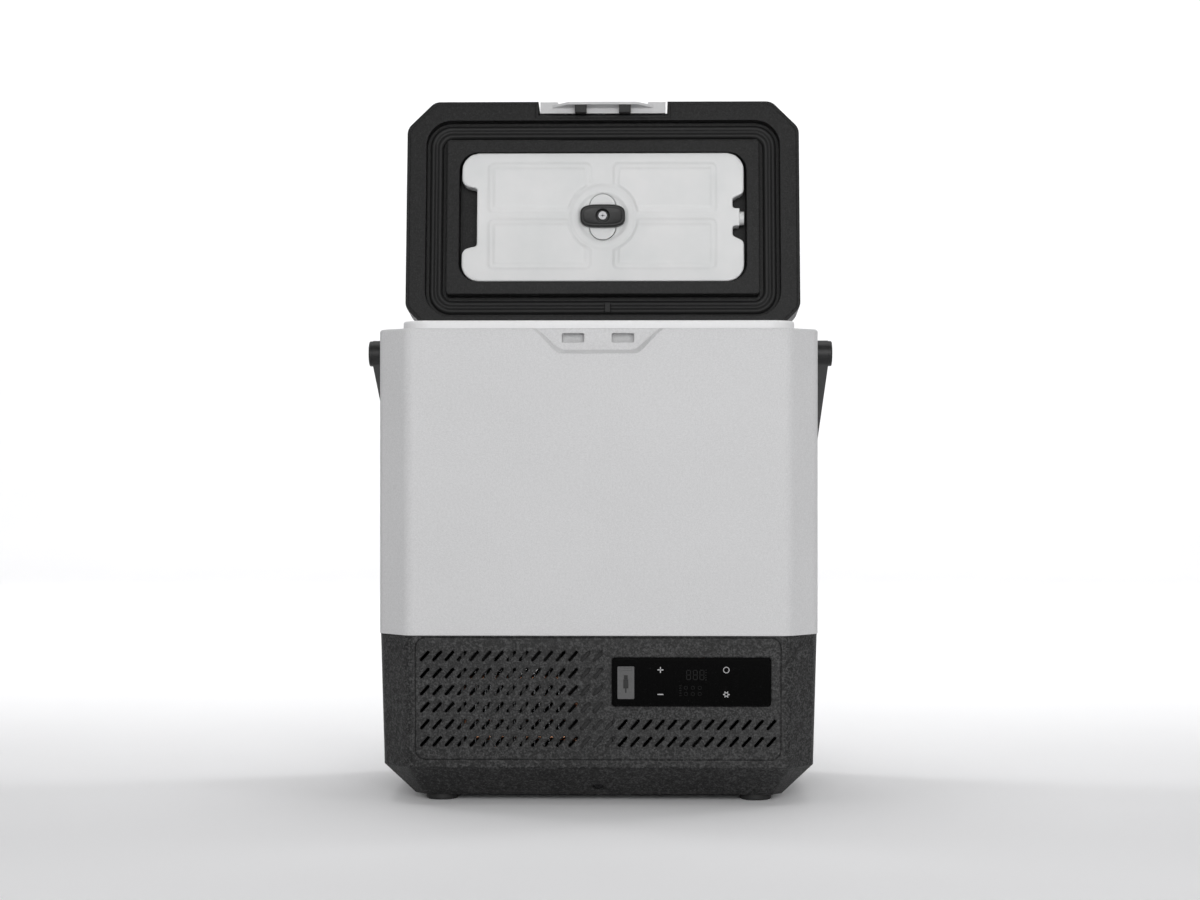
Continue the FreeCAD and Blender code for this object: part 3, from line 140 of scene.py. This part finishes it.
def scaled(tree, value, amount):
    node = add_node(tree, "ShaderNodeMath", operation="MULTIPLY")
    tree.links.new(value, node.inputs[0])
    node.inputs[1].default_value = amount
    return node.outputs[0]


def added(tree, first, second):
    node = add_node(tree, "ShaderNodeMath", operation="ADD")
    tree.links.new(first, node.inputs[0])
    tree.links.new(second, node.inputs[1])
    return node.outputs[0]


def rounded_normal(tree, radius):
    """Normal that looks as if every hard edge were rounded."""
    return add_node(tree, "ShaderNodeBevel", samples=6, Radius=radius).outputs["Normal"]


def add_bump(tree, shader, height, strength, distance, under=None):
    """Bump the shader's surface, over the normal under it if one is given."""
    bump = add_node(tree, "ShaderNodeBump", Strength=strength, Distance=distance)
    tree.links.new(height, bump.inputs["Height"])
    if under is not None:
        tree.links.new(under, bump.inputs["Normal"])
    tree.links.new(bump.outputs["Normal"], shader.inputs["Normal"])


# ------------------------------------------------------------------ materials
FINE_SHARE = 0.7  # of the grain, the rest is coarse
COARSE_SCALE = 0.45  # of the fine grain's noise scale
PATCH_SCALE = 9.0  # noise scale of the slow drift in tone
TONE_DRIFT = 0.02
GLOSS_SWING = 0.05
MID_NOISE = 0.5
GLINT_PLACE = 1.5  # how many times the bite from the middle the painted glints on the grain start
SCRATCH_SCALE = 900.0
SCRATCH_STRETCH = (0.05, 1.0, 1.0)
SCATTER_REACH = 6.0 * MM


def moulded(name, grey, contrast, grain, depth, rough, coat=0.0, grain_glint=0.0, edge=0.6 * MM, shine=0.35,
            bite=0.14):
    """Spark-eroded moulded plastic: fine grain in colour and bump, slow tonal drift, uneven gloss.

    grain is a noise scale, depth the bump's height and edge the radius that hard edges seem to
    have. The darkest and lightest tones sit a bite away from the middle of the noise, and a further
    stop makes the rarest grains lighter still: painted glints, light caught by the grain drawn into
    its colour.
    """
    mat, tree, shader = new_material(name)
    coords = object_coords(tree)
    fine = noise(tree, coords, grain, 3.0, 0.65)
    coarse = noise(tree, coords, grain * COARSE_SCALE)
    drift = noise(tree, coords, PATCH_SCALE, 3.0)
    grains = added(tree, scaled(tree, fine, FINE_SHARE), scaled(tree, coarse, 1 - FINE_SHARE))
    tone = added(tree, grains, spread(tree, drift, -TONE_DRIFT, TONE_DRIFT))
    stops = [
        (MID_NOISE - bite, shade(grey, 1 - contrast)),
        (MID_NOISE, grey),
        (MID_NOISE + bite, shade(grey, 1 + contrast)),
    ]
    # painted glints: a further stop draws the rarest grains lighter still, as light caught by the grain
    if grain_glint > 0:
        stops.append((MID_NOISE + bite * GLINT_PLACE, shade(grey, 1 + contrast + grain_glint)))
    tree.links.new(ramp(tree, tone, stops), shader.inputs["Base Color"])
    tree.links.new(spread(tree, grains, rough - GLOSS_SWING, rough + GLOSS_SWING), shader.inputs["Roughness"])
    add_bump(tree, shader, grains, 1.0, depth, rounded_normal(tree, edge))
    shader.inputs["Coat Weight"].default_value = coat
    shader.inputs["Specular IOR Level"].default_value = shine
    return mat


def metal(name, colour, rough):
    """Worn bare metal with fine scratches along X."""
    mat, tree, shader = new_material(name)
    squash = add_node(tree, "ShaderNodeMapping", Scale=SCRATCH_STRETCH)
    tree.links.new(object_coords(tree), squash.inputs["Vector"])
    lines = noise(tree, squash.outputs["Vector"], SCRATCH_SCALE, 4.0, 0.7)
    tint = ramp(tree, lines, [(NOISE_LOW, shade(colour, 0.8)), (NOISE_HIGH, shade(colour, 1.1))])
    tree.links.new(tint, shader.inputs["Base Color"])
    tree.links.new(spread(tree, lines, rough - 0.08, rough + 0.1), shader.inputs["Roughness"])
    shader.inputs["Metallic"].default_value = 1.0
    add_bump(tree, shader, lines, 0.4, 0.05 * MM)
    return mat


def translucent_white(name):
    """Blow-moulded polyethylene: soft scattering, faint mottling and a waxy sheen."""
    mat, tree, shader = new_material(name)
    coords = object_coords(tree)
    cloud = noise(tree, coords, 22.0, 4.0)
    fine = noise(tree, coords, 700.0)
    tint = ramp(tree, cloud, [(NOISE_LOW, (0.66, 0.67, 0.67)), (NOISE_HIGH, (0.72, 0.72, 0.72))])
    tree.links.new(tint, shader.inputs["Base Color"])
    tree.links.new(spread(tree, fine, 0.34, 0.46), shader.inputs["Roughness"])
    shader.inputs["Subsurface Weight"].default_value = 0.35
    shader.inputs["Subsurface Radius"].default_value = (SCATTER_REACH, SCATTER_REACH, SCATTER_REACH)
    shader.inputs["Subsurface Scale"].default_value = 1.0
    add_bump(tree, shader, fine, 0.6, 0.06 * MM)
    return mat


def gloss_black(name, grey, rough):
    """Polished panel plastic with faint dust and orange peel."""
    mat, tree, shader = new_material(name)
    coords = object_coords(tree)
    dust = noise(tree, coords, 1400.0, 2.0, 0.8)
    peel = noise(tree, coords, 160.0)
    tree.links.new(ramp(tree, dust, [(0.55, grey), (0.8, shade(grey, 3))]), shader.inputs["Base Color"])
    tree.links.new(spread(tree, dust, rough, rough + 0.06), shader.inputs["Roughness"])
    add_bump(tree, shader, peel, 0.3, 0.03 * MM, rounded_normal(tree, 0.5 * MM))
    shader.inputs["Specular IOR Level"].default_value = 0.04
    return mat


MATERIALS = {
    "housing_grey": moulded("housing_grey_look", 0.56, 0.09, 1100.0, 0.16 * MM, 0.55, edge=1.6 * MM),
    "collar_pale": moulded("collar_pale_look", 0.76, 0.02, 900.0, 0.04 * MM, 0.38, edge=1.2 * MM),
    # black plastics: the grain colour is partly the real grain and partly painted glints of light on it, and the
    # lightest grains are painted glints
    "base_black": moulded("base_black_look", 0.016, 0.85, 620.0, 0.5 * MM, 0.5, grain_glint=1.3, edge=2.0 * MM,
                          shine=0.32, bite=0.06),
    "lid_black": moulded("lid_black_look", 0.0095, 0.5, 720.0, 0.3 * MM, 0.48, grain_glint=0.6, edge=1.6 * MM,
                         shine=0.22, bite=0.09),
    "latch_grey": moulded("latch_grey_look", 0.54, 0.03, 1100.0, 0.06 * MM, 0.42, edge=1.2 * MM),
    "panel_gloss": gloss_black("panel_gloss_look", 0.0008, 0.07),
    "dark_plastic": moulded("dark_plastic_look", 0.013, 0.25, 1000.0, 0.14 * MM, 0.42, grain_glint=0.2,
                            edge=0.8 * MM),
    "soft_rubber": moulded("soft_rubber_look", 0.015, 0.2, 800.0, 0.1 * MM, 0.6, edge=0.5 * MM),
    "usb_rubber": moulded("usb_rubber_look", 0.085, 0.10, 900.0, 0.1 * MM, 0.55),
    "pack_white": translucent_white("pack_white_look"),
    "steel": metal("steel_look", (0.30, 0.30, 0.31), 0.4),
    "copper_tube": metal("copper_tube_look", (0.72, 0.36, 0.22), 0.32),
    "fin_aluminium": metal("fin_aluminium_look", (0.66, 0.67, 0.68), 0.36),
    "can_black": moulded("can_black_look", 0.012, 0.2, 500.0, 0.08 * MM, 0.35, coat=0.3),
    "foam": moulded("foam_look", (0.72, 0.64, 0.40), 0.1, 500.0, 0.2 * MM, 0.9),
    "board_green": moulded("board_green_look", (0.02, 0.13, 0.05), 0.2, 300.0, 0.06 * MM, 0.4),
}
BLACK_STEEL = metal("black_steel_look", (0.05, 0.05, 0.052), 0.35)
# near-black stand-in for shade: painted shade in the screw's cross recess and in the gaps at the gasket's joint
SHADE_SLIT = moulded("painted_shade_slit_look", 0.002, 0.3, 900.0, 0.05 * MM, 0.8, shine=0.05)
ICON = moulded("icon_look", 0.50, 0.05, 1500.0, 0.01 * MM, 0.5)
ICON_FAINT = moulded("icon_faint_look", 0.010, 0.3, 1500.0, 0.01 * MM, 0.4, shine=0.1)
BLACK_SCREWS = ("base_screws", "feet_screws", "tray_screws", "hinge_screws")
CAD_SHARP_ANGLE = math.radians(30)


def dress(obj, material):
    """Make a material the object's only one."""
    obj.data.materials.clear()
    obj.data.materials.append(material)


for node_name, node_object in NODES.items():
    dress(node_object, BLACK_STEEL if node_name in BLACK_SCREWS else MATERIALS[NODE_SLOT[node_name]])
    node_object.data.shade_smooth()
    node_object.data.set_sharp_from_angle(angle=CAD_SHARP_ANGLE)


# ------------------------------------------------------------------ mesh helpers
def add_mesh(name, verts, faces, material, body, smooth_angle=35.0):
    """New piece from points and faces, riding a body and standing for a material slot."""
    mesh = bpy.data.meshes.new(name)
    mesh.from_pydata([tuple(v) for v in verts], [], faces)
    mesh.validate()
    obj = bpy.data.objects.new(name, mesh)
    bpy.context.scene.collection.objects.link(obj)
    mesh.materials.append(material)
    shade_smooth(obj, smooth_angle)
    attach(obj, body)
    return obj


def shade_smooth(obj, angle_deg):
    """Smooth shading that keeps edges sharper than the angle hard."""
    work = bmesh.new()
    work.from_mesh(obj.data)
    limit = math.radians(angle_deg)
    for face in work.faces:
        face.smooth = True
    for edge in work.edges:
        edge.smooth = len(edge.link_faces) == 2 and edge.calc_face_angle(0.0) < limit
    bmesh.ops.recalc_face_normals(work, faces=work.faces)
    work.to_mesh(obj.data)
    work.free()


def bake_modifiers(obj):
    """Replace the mesh with what its modifiers make of it."""
    graph = bpy.context.evaluated_depsgraph_get()
    shaped = bpy.data.meshes.new_from_object(obj.evaluated_get(graph))
    old = obj.data
    obj.modifiers.clear()
    obj.data = shaped
    bpy.data.meshes.remove(old)


def arc_points(cx, cy, radius, start_deg, end_deg, steps):
    out = []
    for i in range(steps + 1):
        angle = math.radians(start_deg + (end_deg - start_deg) * i / steps)
        out.append((cx + radius * math.cos(angle), cy + radius * math.sin(angle)))
    return out


def rounded_loop(half_w, half_d, radius, steps):
    """Rounded rectangle in plan, as points that run anticlockwise."""
    corners = [(1, 1, 0), (-1, 1, 90), (-1, -1, 180), (1, -1, 270)]
    out = []
    for sx, sy, start in corners:
        out += arc_points(sx * (half_w - radius), sy * (half_d - radius), radius, start, start + 90, steps)
    return out


def squircle(half_w, half_d, power, count):
    """Superellipse in plan, as points at even angles."""
    out = []
    for i in range(count):
        angle = 2 * math.pi * i / count
        c, s = math.cos(angle), math.sin(angle)
        reach = (abs(c / half_w) ** power + abs(s / half_d) ** power) ** (-1 / power)
        out.append((reach * c, reach * s))
    return out


def loft(loops, closed_profile=False):
    """Vertices and quads through loops that have the same number of points."""
    count = len(loops[0])
    verts = [p for loop in loops for p in loop]
    faces = []
    rows = len(loops) if closed_profile else len(loops) - 1
    for r in range(rows):
        a = r * count
        b = ((r + 1) % len(loops)) * count
        for i in range(count):
            j = (i + 1) % count
            faces.append((a + i, a + j, b + j, b + i))
    return verts, faces


def slab(x0, x1, y0, y1, z0, z1, edge):
    """Block with its two front upright edges chamfered, given in millimetres."""
    plan = [(x0 + edge, y0), (x1 - edge, y0), (x1, y0 + edge), (x1, y1), (x0, y1), (x0, y0 + edge)]
    verts = [(x * MM, y * MM, z * MM) for z in (z0, z1) for x, y in plan]
    count = len(plan)
    faces = [tuple(reversed(range(count))), tuple(range(count, 2 * count))]
    faces += [(i, (i + 1) % count, count + (i + 1) % count, count + i) for i in range(count)]
    return verts, faces


def joined(parts):
    """One list of vertices and one of faces from several of each."""
    verts = []
    faces = []
    for part_verts, part_faces in parts:
        base = len(verts)
        verts += part_verts
        faces += [tuple(base + i for i in face) for face in part_faces]
    return verts, faces


# ------------------------------------------------------------------ lid gasket
GASKET_CORNER = 22.0 * MM
GASKET_CORNER_LOSS = 0.85  # share of the inset that the corner's radius loses
GASKET_SUNK = 0.2 * MM  # root below the top of the CAD gasket
GASKET_SHORT = 0.3 * MM  # how much less than the CAD gasket's height the lips reach
# Millimetres in from the outside, and share of the reach down from the root
GASKET_PROFILE = [
    (0.2, 0.0), (0.2, 0.45), (0.9, 0.62), (1.6, 0.86), (2.8, 1.0), (4.2, 0.97), (5.2, 0.80), (5.9, 0.62),
    (6.9, 0.56), (7.9, 0.62), (8.6, 0.78), (9.6, 0.93), (11.0, 0.97), (12.2, 0.84), (13.0, 0.6), (13.7, 0.4),
    (13.7, 0.0),
]


def make_gasket():
    """Bellows gasket: a soft profile carried round the lid, its two lips facing the collar."""
    low, high = closed_box("lid_gasket")
    centre_y = (low.y + high.y) / 2
    half_d = (high.y - low.y) / 2
    root_z = high.z - GASKET_SUNK
    reach = high.z - low.z - GASKET_SHORT
    loops = []
    for across, down in GASKET_PROFILE:
        inset = across * MM
        z = root_z - down * reach
        plan = rounded_loop(high.x - inset, half_d - inset, GASKET_CORNER - inset * GASKET_CORNER_LOSS, 10)
        loops.append([TO_OPEN @ Vector((x, y + centre_y, z)) for x, y in plan])
    verts, faces = loft(loops, closed_profile=True)
    rubber = MATERIALS["soft_rubber"]
    gasket = add_mesh("lid_gasket_bellows", verts, faces, rubber, "lid", 50.0)
    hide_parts("lid_gasket")


# ------------------------------------------------------------------ ice pack
# Places and heights of the relief, in millimetres from the body's middle with the lid closed
PANEL_X = (-64.0, 63.0)
PANEL_Y = (-30.0, 28.0)
PANEL_HALF_W = 52.0
PANEL_HALF_D = 25.5
PANEL_CORNER = 5.0
PANEL_RISE = 0.75
CROWN_RISE = 0.55
RING_RISE = 0.7
DISH_DROP = 0.5
PACK_VOXEL = 1.25 * MM


def step_up(start, end, value):
    """Smooth step from 0 at the start to 1 at the end."""
    t = max(0.0, min(1.0, (value - start) / (end - start)))
    return t * t * (3 - 2 * t)


def step_down(start, end, value):
    return 1.0 - step_up(start, end, value)


def rounded_rect_distance(x, y, cx, cy, half_w, half_d, radius):
    """Signed distance to a rounded rectangle, negative inside."""
    qx = abs(x - cx) - half_w + radius
    qy = abs(y - cy) - half_d + radius
    outside = math.hypot(max(qx, 0.0), max(qy, 0.0))
    return outside + min(max(qx, qy), 0.0) - radius


def pack_relief(x, y):
    """Height of four crowned panels, a ring and the dish inside it on the ice pack's face."""
    radius = math.hypot(x, y)
    outside_ring = step_up(34.5, 37.0, radius)
    height = 0.0
    for cx in PANEL_X:
        for cy in PANEL_Y:
            d = rounded_rect_distance(x, y, cx, cy, PANEL_HALF_W, PANEL_HALF_D, PANEL_CORNER)
            panel = PANEL_RISE * step_down(-1.2, 0.9, d) + CROWN_RISE * step_down(-6.4, -4.4, d)
            height += panel * outside_ring
    ring = step_up(24.0, 26.5, radius) * step_down(31.5, 34.0, radius)
    dish = step_down(22.5, 25.0, radius)
    return height + RING_RISE * ring - DISH_DROP * dish


def make_ice_pack():
    """Blow-moulded bottle: the CAD pack with eased edges and a relief on its lower face."""
    low = closed_box("ice_pack")[0]
    source = NODES["ice_pack"].data.copy()
    source.transform(TO_CLOSED)
    obj = bpy.data.objects.new("ice_pack_bottle", source)
    bpy.context.scene.collection.objects.link(obj)
    remesh = obj.modifiers.new("even", "REMESH")
    remesh.mode = "VOXEL"
    remesh.voxel_size = PACK_VOXEL
    smooth = obj.modifiers.new("ease", "SMOOTH")
    smooth.factor = 0.5
    smooth.iterations = 5
    bake_modifiers(obj)
    for vert in obj.data.vertices:
        on_face = step_down(low.z + 0.4 * MM, low.z + 1.6 * MM, vert.co.z)
        vert.co.z -= pack_relief(vert.co.x / MM, vert.co.y / MM) * MM * on_face
    obj.data.transform(TO_OPEN)
    dress(obj, MATERIALS["pack_white"])
    shade_smooth(obj, 80.0)
    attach(obj, "lid")
    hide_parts("ice_pack")


# ------------------------------------------------------------------ retainer knob
KNOB_POWER = 3.4
KNOB_POINTS = 96
KNOB_TALL = 7.0  # height that the rim's rows are drawn for
# Rim from its root to the sunk field: millimetres in from the outline, and height above the lowest face
KNOB_RIM = [
    (0.9, 7.0), (0.0, 6.0), (0.0, 1.9), (0.35, 0.9), (1.0, 0.25), (1.9, 0.02), (2.9, 0.05), (3.5, 0.45),
    (4.1, 0.6),
]
# Screw well: radius and height above the lowest face, in millimetres
KNOB_WELL = [(7.6, 0.5), (7.1, 0.55), (6.6, 1.0), (6.2, 4.4), (0.01, 4.4)]
CROSS_HALF_L = 2.3
CROSS_HALF_W = 0.45
CROSS_TURN = math.radians(28)


def make_knob():
    """Turning knob: a crowned pill with a raised rim, a sunk field and a screw well."""
    low, high = closed_box("retainer_knob")
    half_w = (high.x - low.x) / 2
    half_d = (high.y - low.y) / 2
    centre = (low + high) / 2
    loops = []
    for inset, height in KNOB_RIM:
        z = low.z + height / KNOB_TALL * (high.z - low.z)
        plan = squircle(half_w - inset * MM, half_d - inset * MM, KNOB_POWER, KNOB_POINTS)
        loops.append([(x + centre.x, y + centre.y, z) for x, y in plan])
    for radius, height in KNOB_WELL:
        z = low.z + height * MM
        plan = squircle(radius * MM, radius * MM, 2.0, KNOB_POINTS)
        loops.append([(x + centre.x, y + centre.y, z) for x, y in plan])
    verts, faces = loft(loops)
    verts = [TO_OPEN @ Vector(v) for v in verts]
    faces.append(tuple(range(KNOB_POINTS)))
    knob = add_mesh("knob_body", verts, faces, MATERIALS["dark_plastic"], "knob", 45.0)
    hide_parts("retainer_knob")
    make_screw_cross(centre)


def make_screw_cross(centre):
    """Near-black cross just inside the face of the knob's screw head: painted shade for the shadow in its cross
    recess.
    """
    head_z = closed_box("knob_screw")[0].z / MM
    x = centre.x / MM
    y = centre.y / MM
    arms = []
    for half_x, half_y in ((CROSS_HALF_L, CROSS_HALF_W), (CROSS_HALF_W, CROSS_HALF_L)):
        arms.append(slab(x - half_x, x + half_x, y - half_y, y + half_y, head_z + 0.02, head_z + 0.4, 0.1))
    verts, faces = joined(arms)
    turn = Matrix.Translation(centre) @ Matrix.Rotation(CROSS_TURN, 4, "Z") @ Matrix.Translation(-centre)
    verts = [TO_OPEN @ turn @ Vector(v) for v in verts]
    add_mesh("knob_screw_cross_shade", verts, faces, SHADE_SLIT, "lid")


# ------------------------------------------------------------------ behind the air slots
RIB_BOTTOM = 46.0
RIB_TOP = 147.0
RIB_GAP = 0.4
RIB_DEEP = 1.8
UNDER_PANEL_TOP = 86.0
# Ribs in millimetres: left side, right side and top
RIBS = [
    (-16.0, 12.95, RIB_TOP), (13.1, 18.0, UNDER_PANEL_TOP), (-81.0, -76.5, RIB_TOP), (-69.0, -65.0, RIB_TOP),
    (-124.0, -121.0, RIB_TOP),
]
SEAL_STRIPS = [(-130.0, -96.0), (-92.5, -33.5), (-30.5, 11.0)]


def make_baffles():
    """Ribs and foam seals between the front panel and the condenser."""
    front = GRILLE_BACK + RIB_GAP
    ribs = [slab(x0, x1, front, front + RIB_DEEP, RIB_BOTTOM, top, 0.3) for x0, x1, top in RIBS]
    verts, faces = joined(ribs)
    add_mesh("slot_ribs", verts, faces, MATERIALS["dark_plastic"], "cabinet")
    seals = [slab(x0, x1, -80.0, -68.0, 119.0, 152.0, 1.0) for x0, x1 in SEAL_STRIPS]
    seals.append(slab(-36.0, -11.0, -60.0, -56.0, 60.0, 118.0, 0.5))
    verts, faces = joined(seals)
    add_mesh("condenser_seals", verts, faces, MATERIALS["soft_rubber"], "cabinet")


# ------------------------------------------------------------------ gasket joint
SLIT_HALF_W = 0.35
CROSS_SLIT_W = 0.9
CROSS_SLIT_REACH = 1.2
SLIT_LOW = 0.05
SLIT_HIGH = 2.0


def make_joint_slits():
    """Near-black slits on both sides of the gasket's joint and across its rear end: painted shade in the joint's
    gaps.
    """
    low, high = closed_box("gasket_joint")
    left, right = low.x / MM, high.x / MM
    front, rear = low.y / MM, high.y / MM
    bottom, top = low.z / MM + SLIT_LOW, low.z / MM + SLIT_HIGH
    slits = [slab(x - SLIT_HALF_W, x + SLIT_HALF_W, front, rear, bottom, top, 0.1) for x in (left, right)]
    slits.append(slab(left - CROSS_SLIT_REACH, right + CROSS_SLIT_REACH, rear - CROSS_SLIT_W, rear,
                      bottom, top, 0.1))
    verts, faces = joined(slits)
    verts = [TO_OPEN @ Vector(v) for v in verts]
    add_mesh("gasket_joint_shade_slits", verts, faces, SHADE_SLIT, "lid")


# ------------------------------------------------------------------ marks on the front
# Outlines are drawn in millimetres, across and up from the middle of the node they sit on
MARK_SUNK = 0.02 * MM
PANEL_MARK_T = 0.06 * MM
USB_MARK_T = 0.07 * MM
KEYS_LEFT = -27.9
KEYS_RIGHT = 31.3
KEYS_RISE = 11.0
SIGN_LONG = 5.4
SIGN_THICK = 0.9


def flat_marks(name, outlines, node, thickness, material, body):
    """Thin raised shapes on a node's front face."""
    low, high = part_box(node)
    middle = (low + high) / 2
    back = low.y + MARK_SUNK
    verts = []
    faces = []
    for outline in outlines:
        base = len(verts)
        count = len(outline)
        for y in (back, back - thickness):
            verts += [(middle.x + x * MM, y, middle.z + z * MM) for x, z in outline]
        faces.append(tuple(base + i for i in range(count)))
        faces.append(tuple(base + count + i for i in reversed(range(count))))
        for i in range(count):
            j = (i + 1) % count
            faces.append((base + i, base + count + i, base + count + j, base + j))
    add_mesh(name, verts, faces, material, body, 30.0)


def bar(cx, cz, width, height, turn=0.0):
    c, s = math.cos(turn), math.sin(turn)
    half_w = width / 2
    half_h = height / 2
    corners = [(-half_w, -half_h), (half_w, -half_h), (half_w, half_h), (-half_w, half_h)]
    return [(cx + x * c - z * s, cz + x * s + z * c) for x, z in corners]


def ring_bars(cx, cz, radius, thick, count, start=0.0, share=1.1):
    """Ring built from short bars, each the given share of its part of the way round."""
    out = []
    length = 2 * math.pi * radius / count * share
    for i in range(count):
        angle = start + 2 * math.pi * i / count
        x = cx + radius * math.cos(angle)
        z = cz + radius * math.sin(angle)
        out.append(bar(x, z, length, thick, angle + math.pi / 2))
    return out


def digit_bars(cx, cz, width, height, thick):
    """The seven bars of an unlit digit."""
    half = height / 2
    out = [bar(cx, cz + dz, width * 0.8, thick) for dz in (-half, 0.0, half)]
    for side in (-1, 1):
        for dz in (-half / 2, half / 2):
            out.append(bar(cx + side * width / 2, cz + dz, thick, half * 0.8))
    return out


def touch_keys():
    """Plus and minus on the left, a ring and a ring with six rays on the right."""
    keys = [
        bar(KEYS_LEFT, KEYS_RISE, SIGN_LONG, SIGN_THICK),
        bar(KEYS_LEFT, KEYS_RISE, SIGN_THICK, SIGN_LONG),
        bar(KEYS_LEFT, -KEYS_RISE, SIGN_LONG, SIGN_THICK),
    ]
    keys += ring_bars(KEYS_RIGHT, KEYS_RISE, 2.5, 0.75, 18, math.pi / 2)
    keys += ring_bars(KEYS_RIGHT, -KEYS_RISE, 1.5, 0.9, 12)
    keys += ring_bars(KEYS_RIGHT, -KEYS_RISE, 2.5, 1.0, 6, share=0.35)
    return keys


def unlit_display():
    """Three digits over two rows of small rings, with a scale of short bars on each side."""
    out = []
    for i in range(3):
        out += digit_bars(-2.6 + i * 6.0, 6.5, 3.6, 8.4, 0.8)
    for i in range(3):
        for k in range(2):
            out += ring_bars(-5.0 + i * 6.2, -5.0 - k * 5.6, 1.5, 0.5, 8, share=0.8)
    for i in range(5):
        out.append(bar(-10.0, -12.0 + i * 2.2, 2.0, 0.7))
        out.append(bar(13.0, 2.0 + i * 2.2, 1.2, 0.7))
    return out


def make_panel_marks():
    """Bright keys and a faint display on the control panel's glass."""
    for name, outlines, look in (
        ("touch_marks", touch_keys(), ICON),
        ("display_marks", unlit_display(), ICON_FAINT),
    ):
        flat_marks(name, outlines, "control_glass", PANEL_MARK_T, look, "cabinet")


def make_usb_mark():
    """Raised plug pictogram on the USB cover: body, tip and lead, in darker rubber than the cover: painted shade
    in place of the shading along an embossed mark's edges.
    """
    plug = [bar(0.0, -1.0, 4.4, 8.0), bar(0.0, 5.0, 3.2, 3.6), bar(0.0, -7.0, 1.0, 4.0)]
    # darker rubber: painted shade that makes the embossed mark show
    rubber = MATERIALS["soft_rubber"]
    flat_marks("usb_mark", plug, "usb_cover", USB_MARK_T, rubber, "usb_flap")


# ------------------------------------------------------------------ stage, light and camera
FLOOR_HALF_W = 9.0
FLOOR_FRONT = -8.0
FLOOR_FLAT_TO = 3.4
BACKDROP_RADIUS = 1.6
BACKDROP_TOP = 8.0
WORLD_STRENGTH = 0.25
BODY_AIM = (0.0, 0.0, 0.3)
# Place, aim, width and height, and power of each light
LIGHTS = {
    "front": ((0.2, -3.0, 0.95), BODY_AIM, (1.8, 1.2), 46.0),
    "left": ((-2.2, -1.4, 1.2), BODY_AIM, (0.8, 1.4), 4.0),
    "right": ((2.2, -1.4, 1.2), BODY_AIM, (0.8, 1.4), 8.0),
    "top": ((0.0, 0.3, 2.5), BODY_AIM, (1.8, 1.4), 16.0),
    "backdrop_left": ((-2.2, 1.2, 2.4), (-0.6, 4.8, 1.2), (2.4, 2.0), 90.0),
    "backdrop_right": ((2.2, 1.2, 2.4), (0.6, 4.8, 1.2), (2.4, 2.0), 90.0),
}
CAMERA_PLACE = (0.0384, -2.1448, 0.3177)
CAMERA_YAW = 0.018
CAMERA_LIFT = 0.0012
CAMERA_LENS = 67.52
CAMERA_SENSOR = 36.0
CAMERA_SIGHT = 60.0


def make_stage():
    """Pale floor that curves up into a backdrop."""
    line = [(FLOOR_FRONT, 0.0)]
    line += arc_points(FLOOR_FLAT_TO, BACKDROP_RADIUS, BACKDROP_RADIUS, -90, 0, 24)
    line.append((FLOOR_FLAT_TO + BACKDROP_RADIUS, BACKDROP_TOP))
    verts = []
    for y, z in line:
        verts += [(-FLOOR_HALF_W, y, z), (FLOOR_HALF_W, y, z)]
    faces = [(2 * i, 2 * i + 1, 2 * i + 3, 2 * i + 2) for i in range(len(line) - 1)]
    mesh = bpy.data.meshes.new("studio_floor")
    mesh.from_pydata(verts, [], faces)
    for face in mesh.polygons:
        face.use_smooth = True
    floor = bpy.data.objects.new("studio_floor", mesh)
    bpy.context.scene.collection.objects.link(floor)
    mat, tree, shader = new_material("studio_floor_look")
    tint = ramp(tree, noise(tree, object_coords(tree), 3.0), [(0.2, 0.86), (0.8, 0.88)])
    tree.links.new(tint, shader.inputs["Base Color"])
    shader.inputs["Roughness"].default_value = 0.9
    mesh.materials.append(mat)


def add_aimed(name, data, place, direction):
    """Light or camera that looks in a direction from its place."""
    obj = bpy.data.objects.new(name, data)
    obj.location = place
    obj.rotation_euler = direction.to_track_quat("-Z", "Y").to_euler()
    bpy.context.scene.collection.objects.link(obj)
    return obj


def area_light(name, place, target, size, power):
    light = bpy.data.lights.new(name, "AREA")
    light.shape = "RECTANGLE"
    light.size = size[0]
    light.size_y = size[1]
    light.energy = power
    add_aimed(name, light, place, Vector(target) - Vector(place))


def make_light():
    """White surroundings and the studio's lights."""
    world = bpy.data.worlds.new("studio")
    bpy.context.scene.world = world
    world.use_nodes = True
    background = world.node_tree.nodes["Background"]
    background.inputs["Color"].default_value = (1.0, 1.0, 1.0, 1.0)
    background.inputs["Strength"].default_value = WORLD_STRENGTH
    for name, (place, target, size, power) in LIGHTS.items():
        area_light(name, place, target, size, power)


def make_camera():
    """Camera at the photograph's place, nearly level and nearly square on."""
    camera = bpy.data.cameras.new("camera")
    camera.sensor_width = CAMERA_SENSOR
    camera.lens = CAMERA_LENS
    camera.clip_end = CAMERA_SIGHT
    aim = Vector((-math.sin(CAMERA_YAW), math.cos(CAMERA_YAW), CAMERA_LIFT))
    bpy.context.scene.camera = add_aimed("camera", camera, CAMERA_PLACE, aim)


bpy.context.scene.view_settings.view_transform = "Standard"
make_gasket()
make_ice_pack()
make_knob()
make_baffles()
make_joint_slits()
make_panel_marks()
make_usb_mark()
make_stage()
make_light()
make_camera()
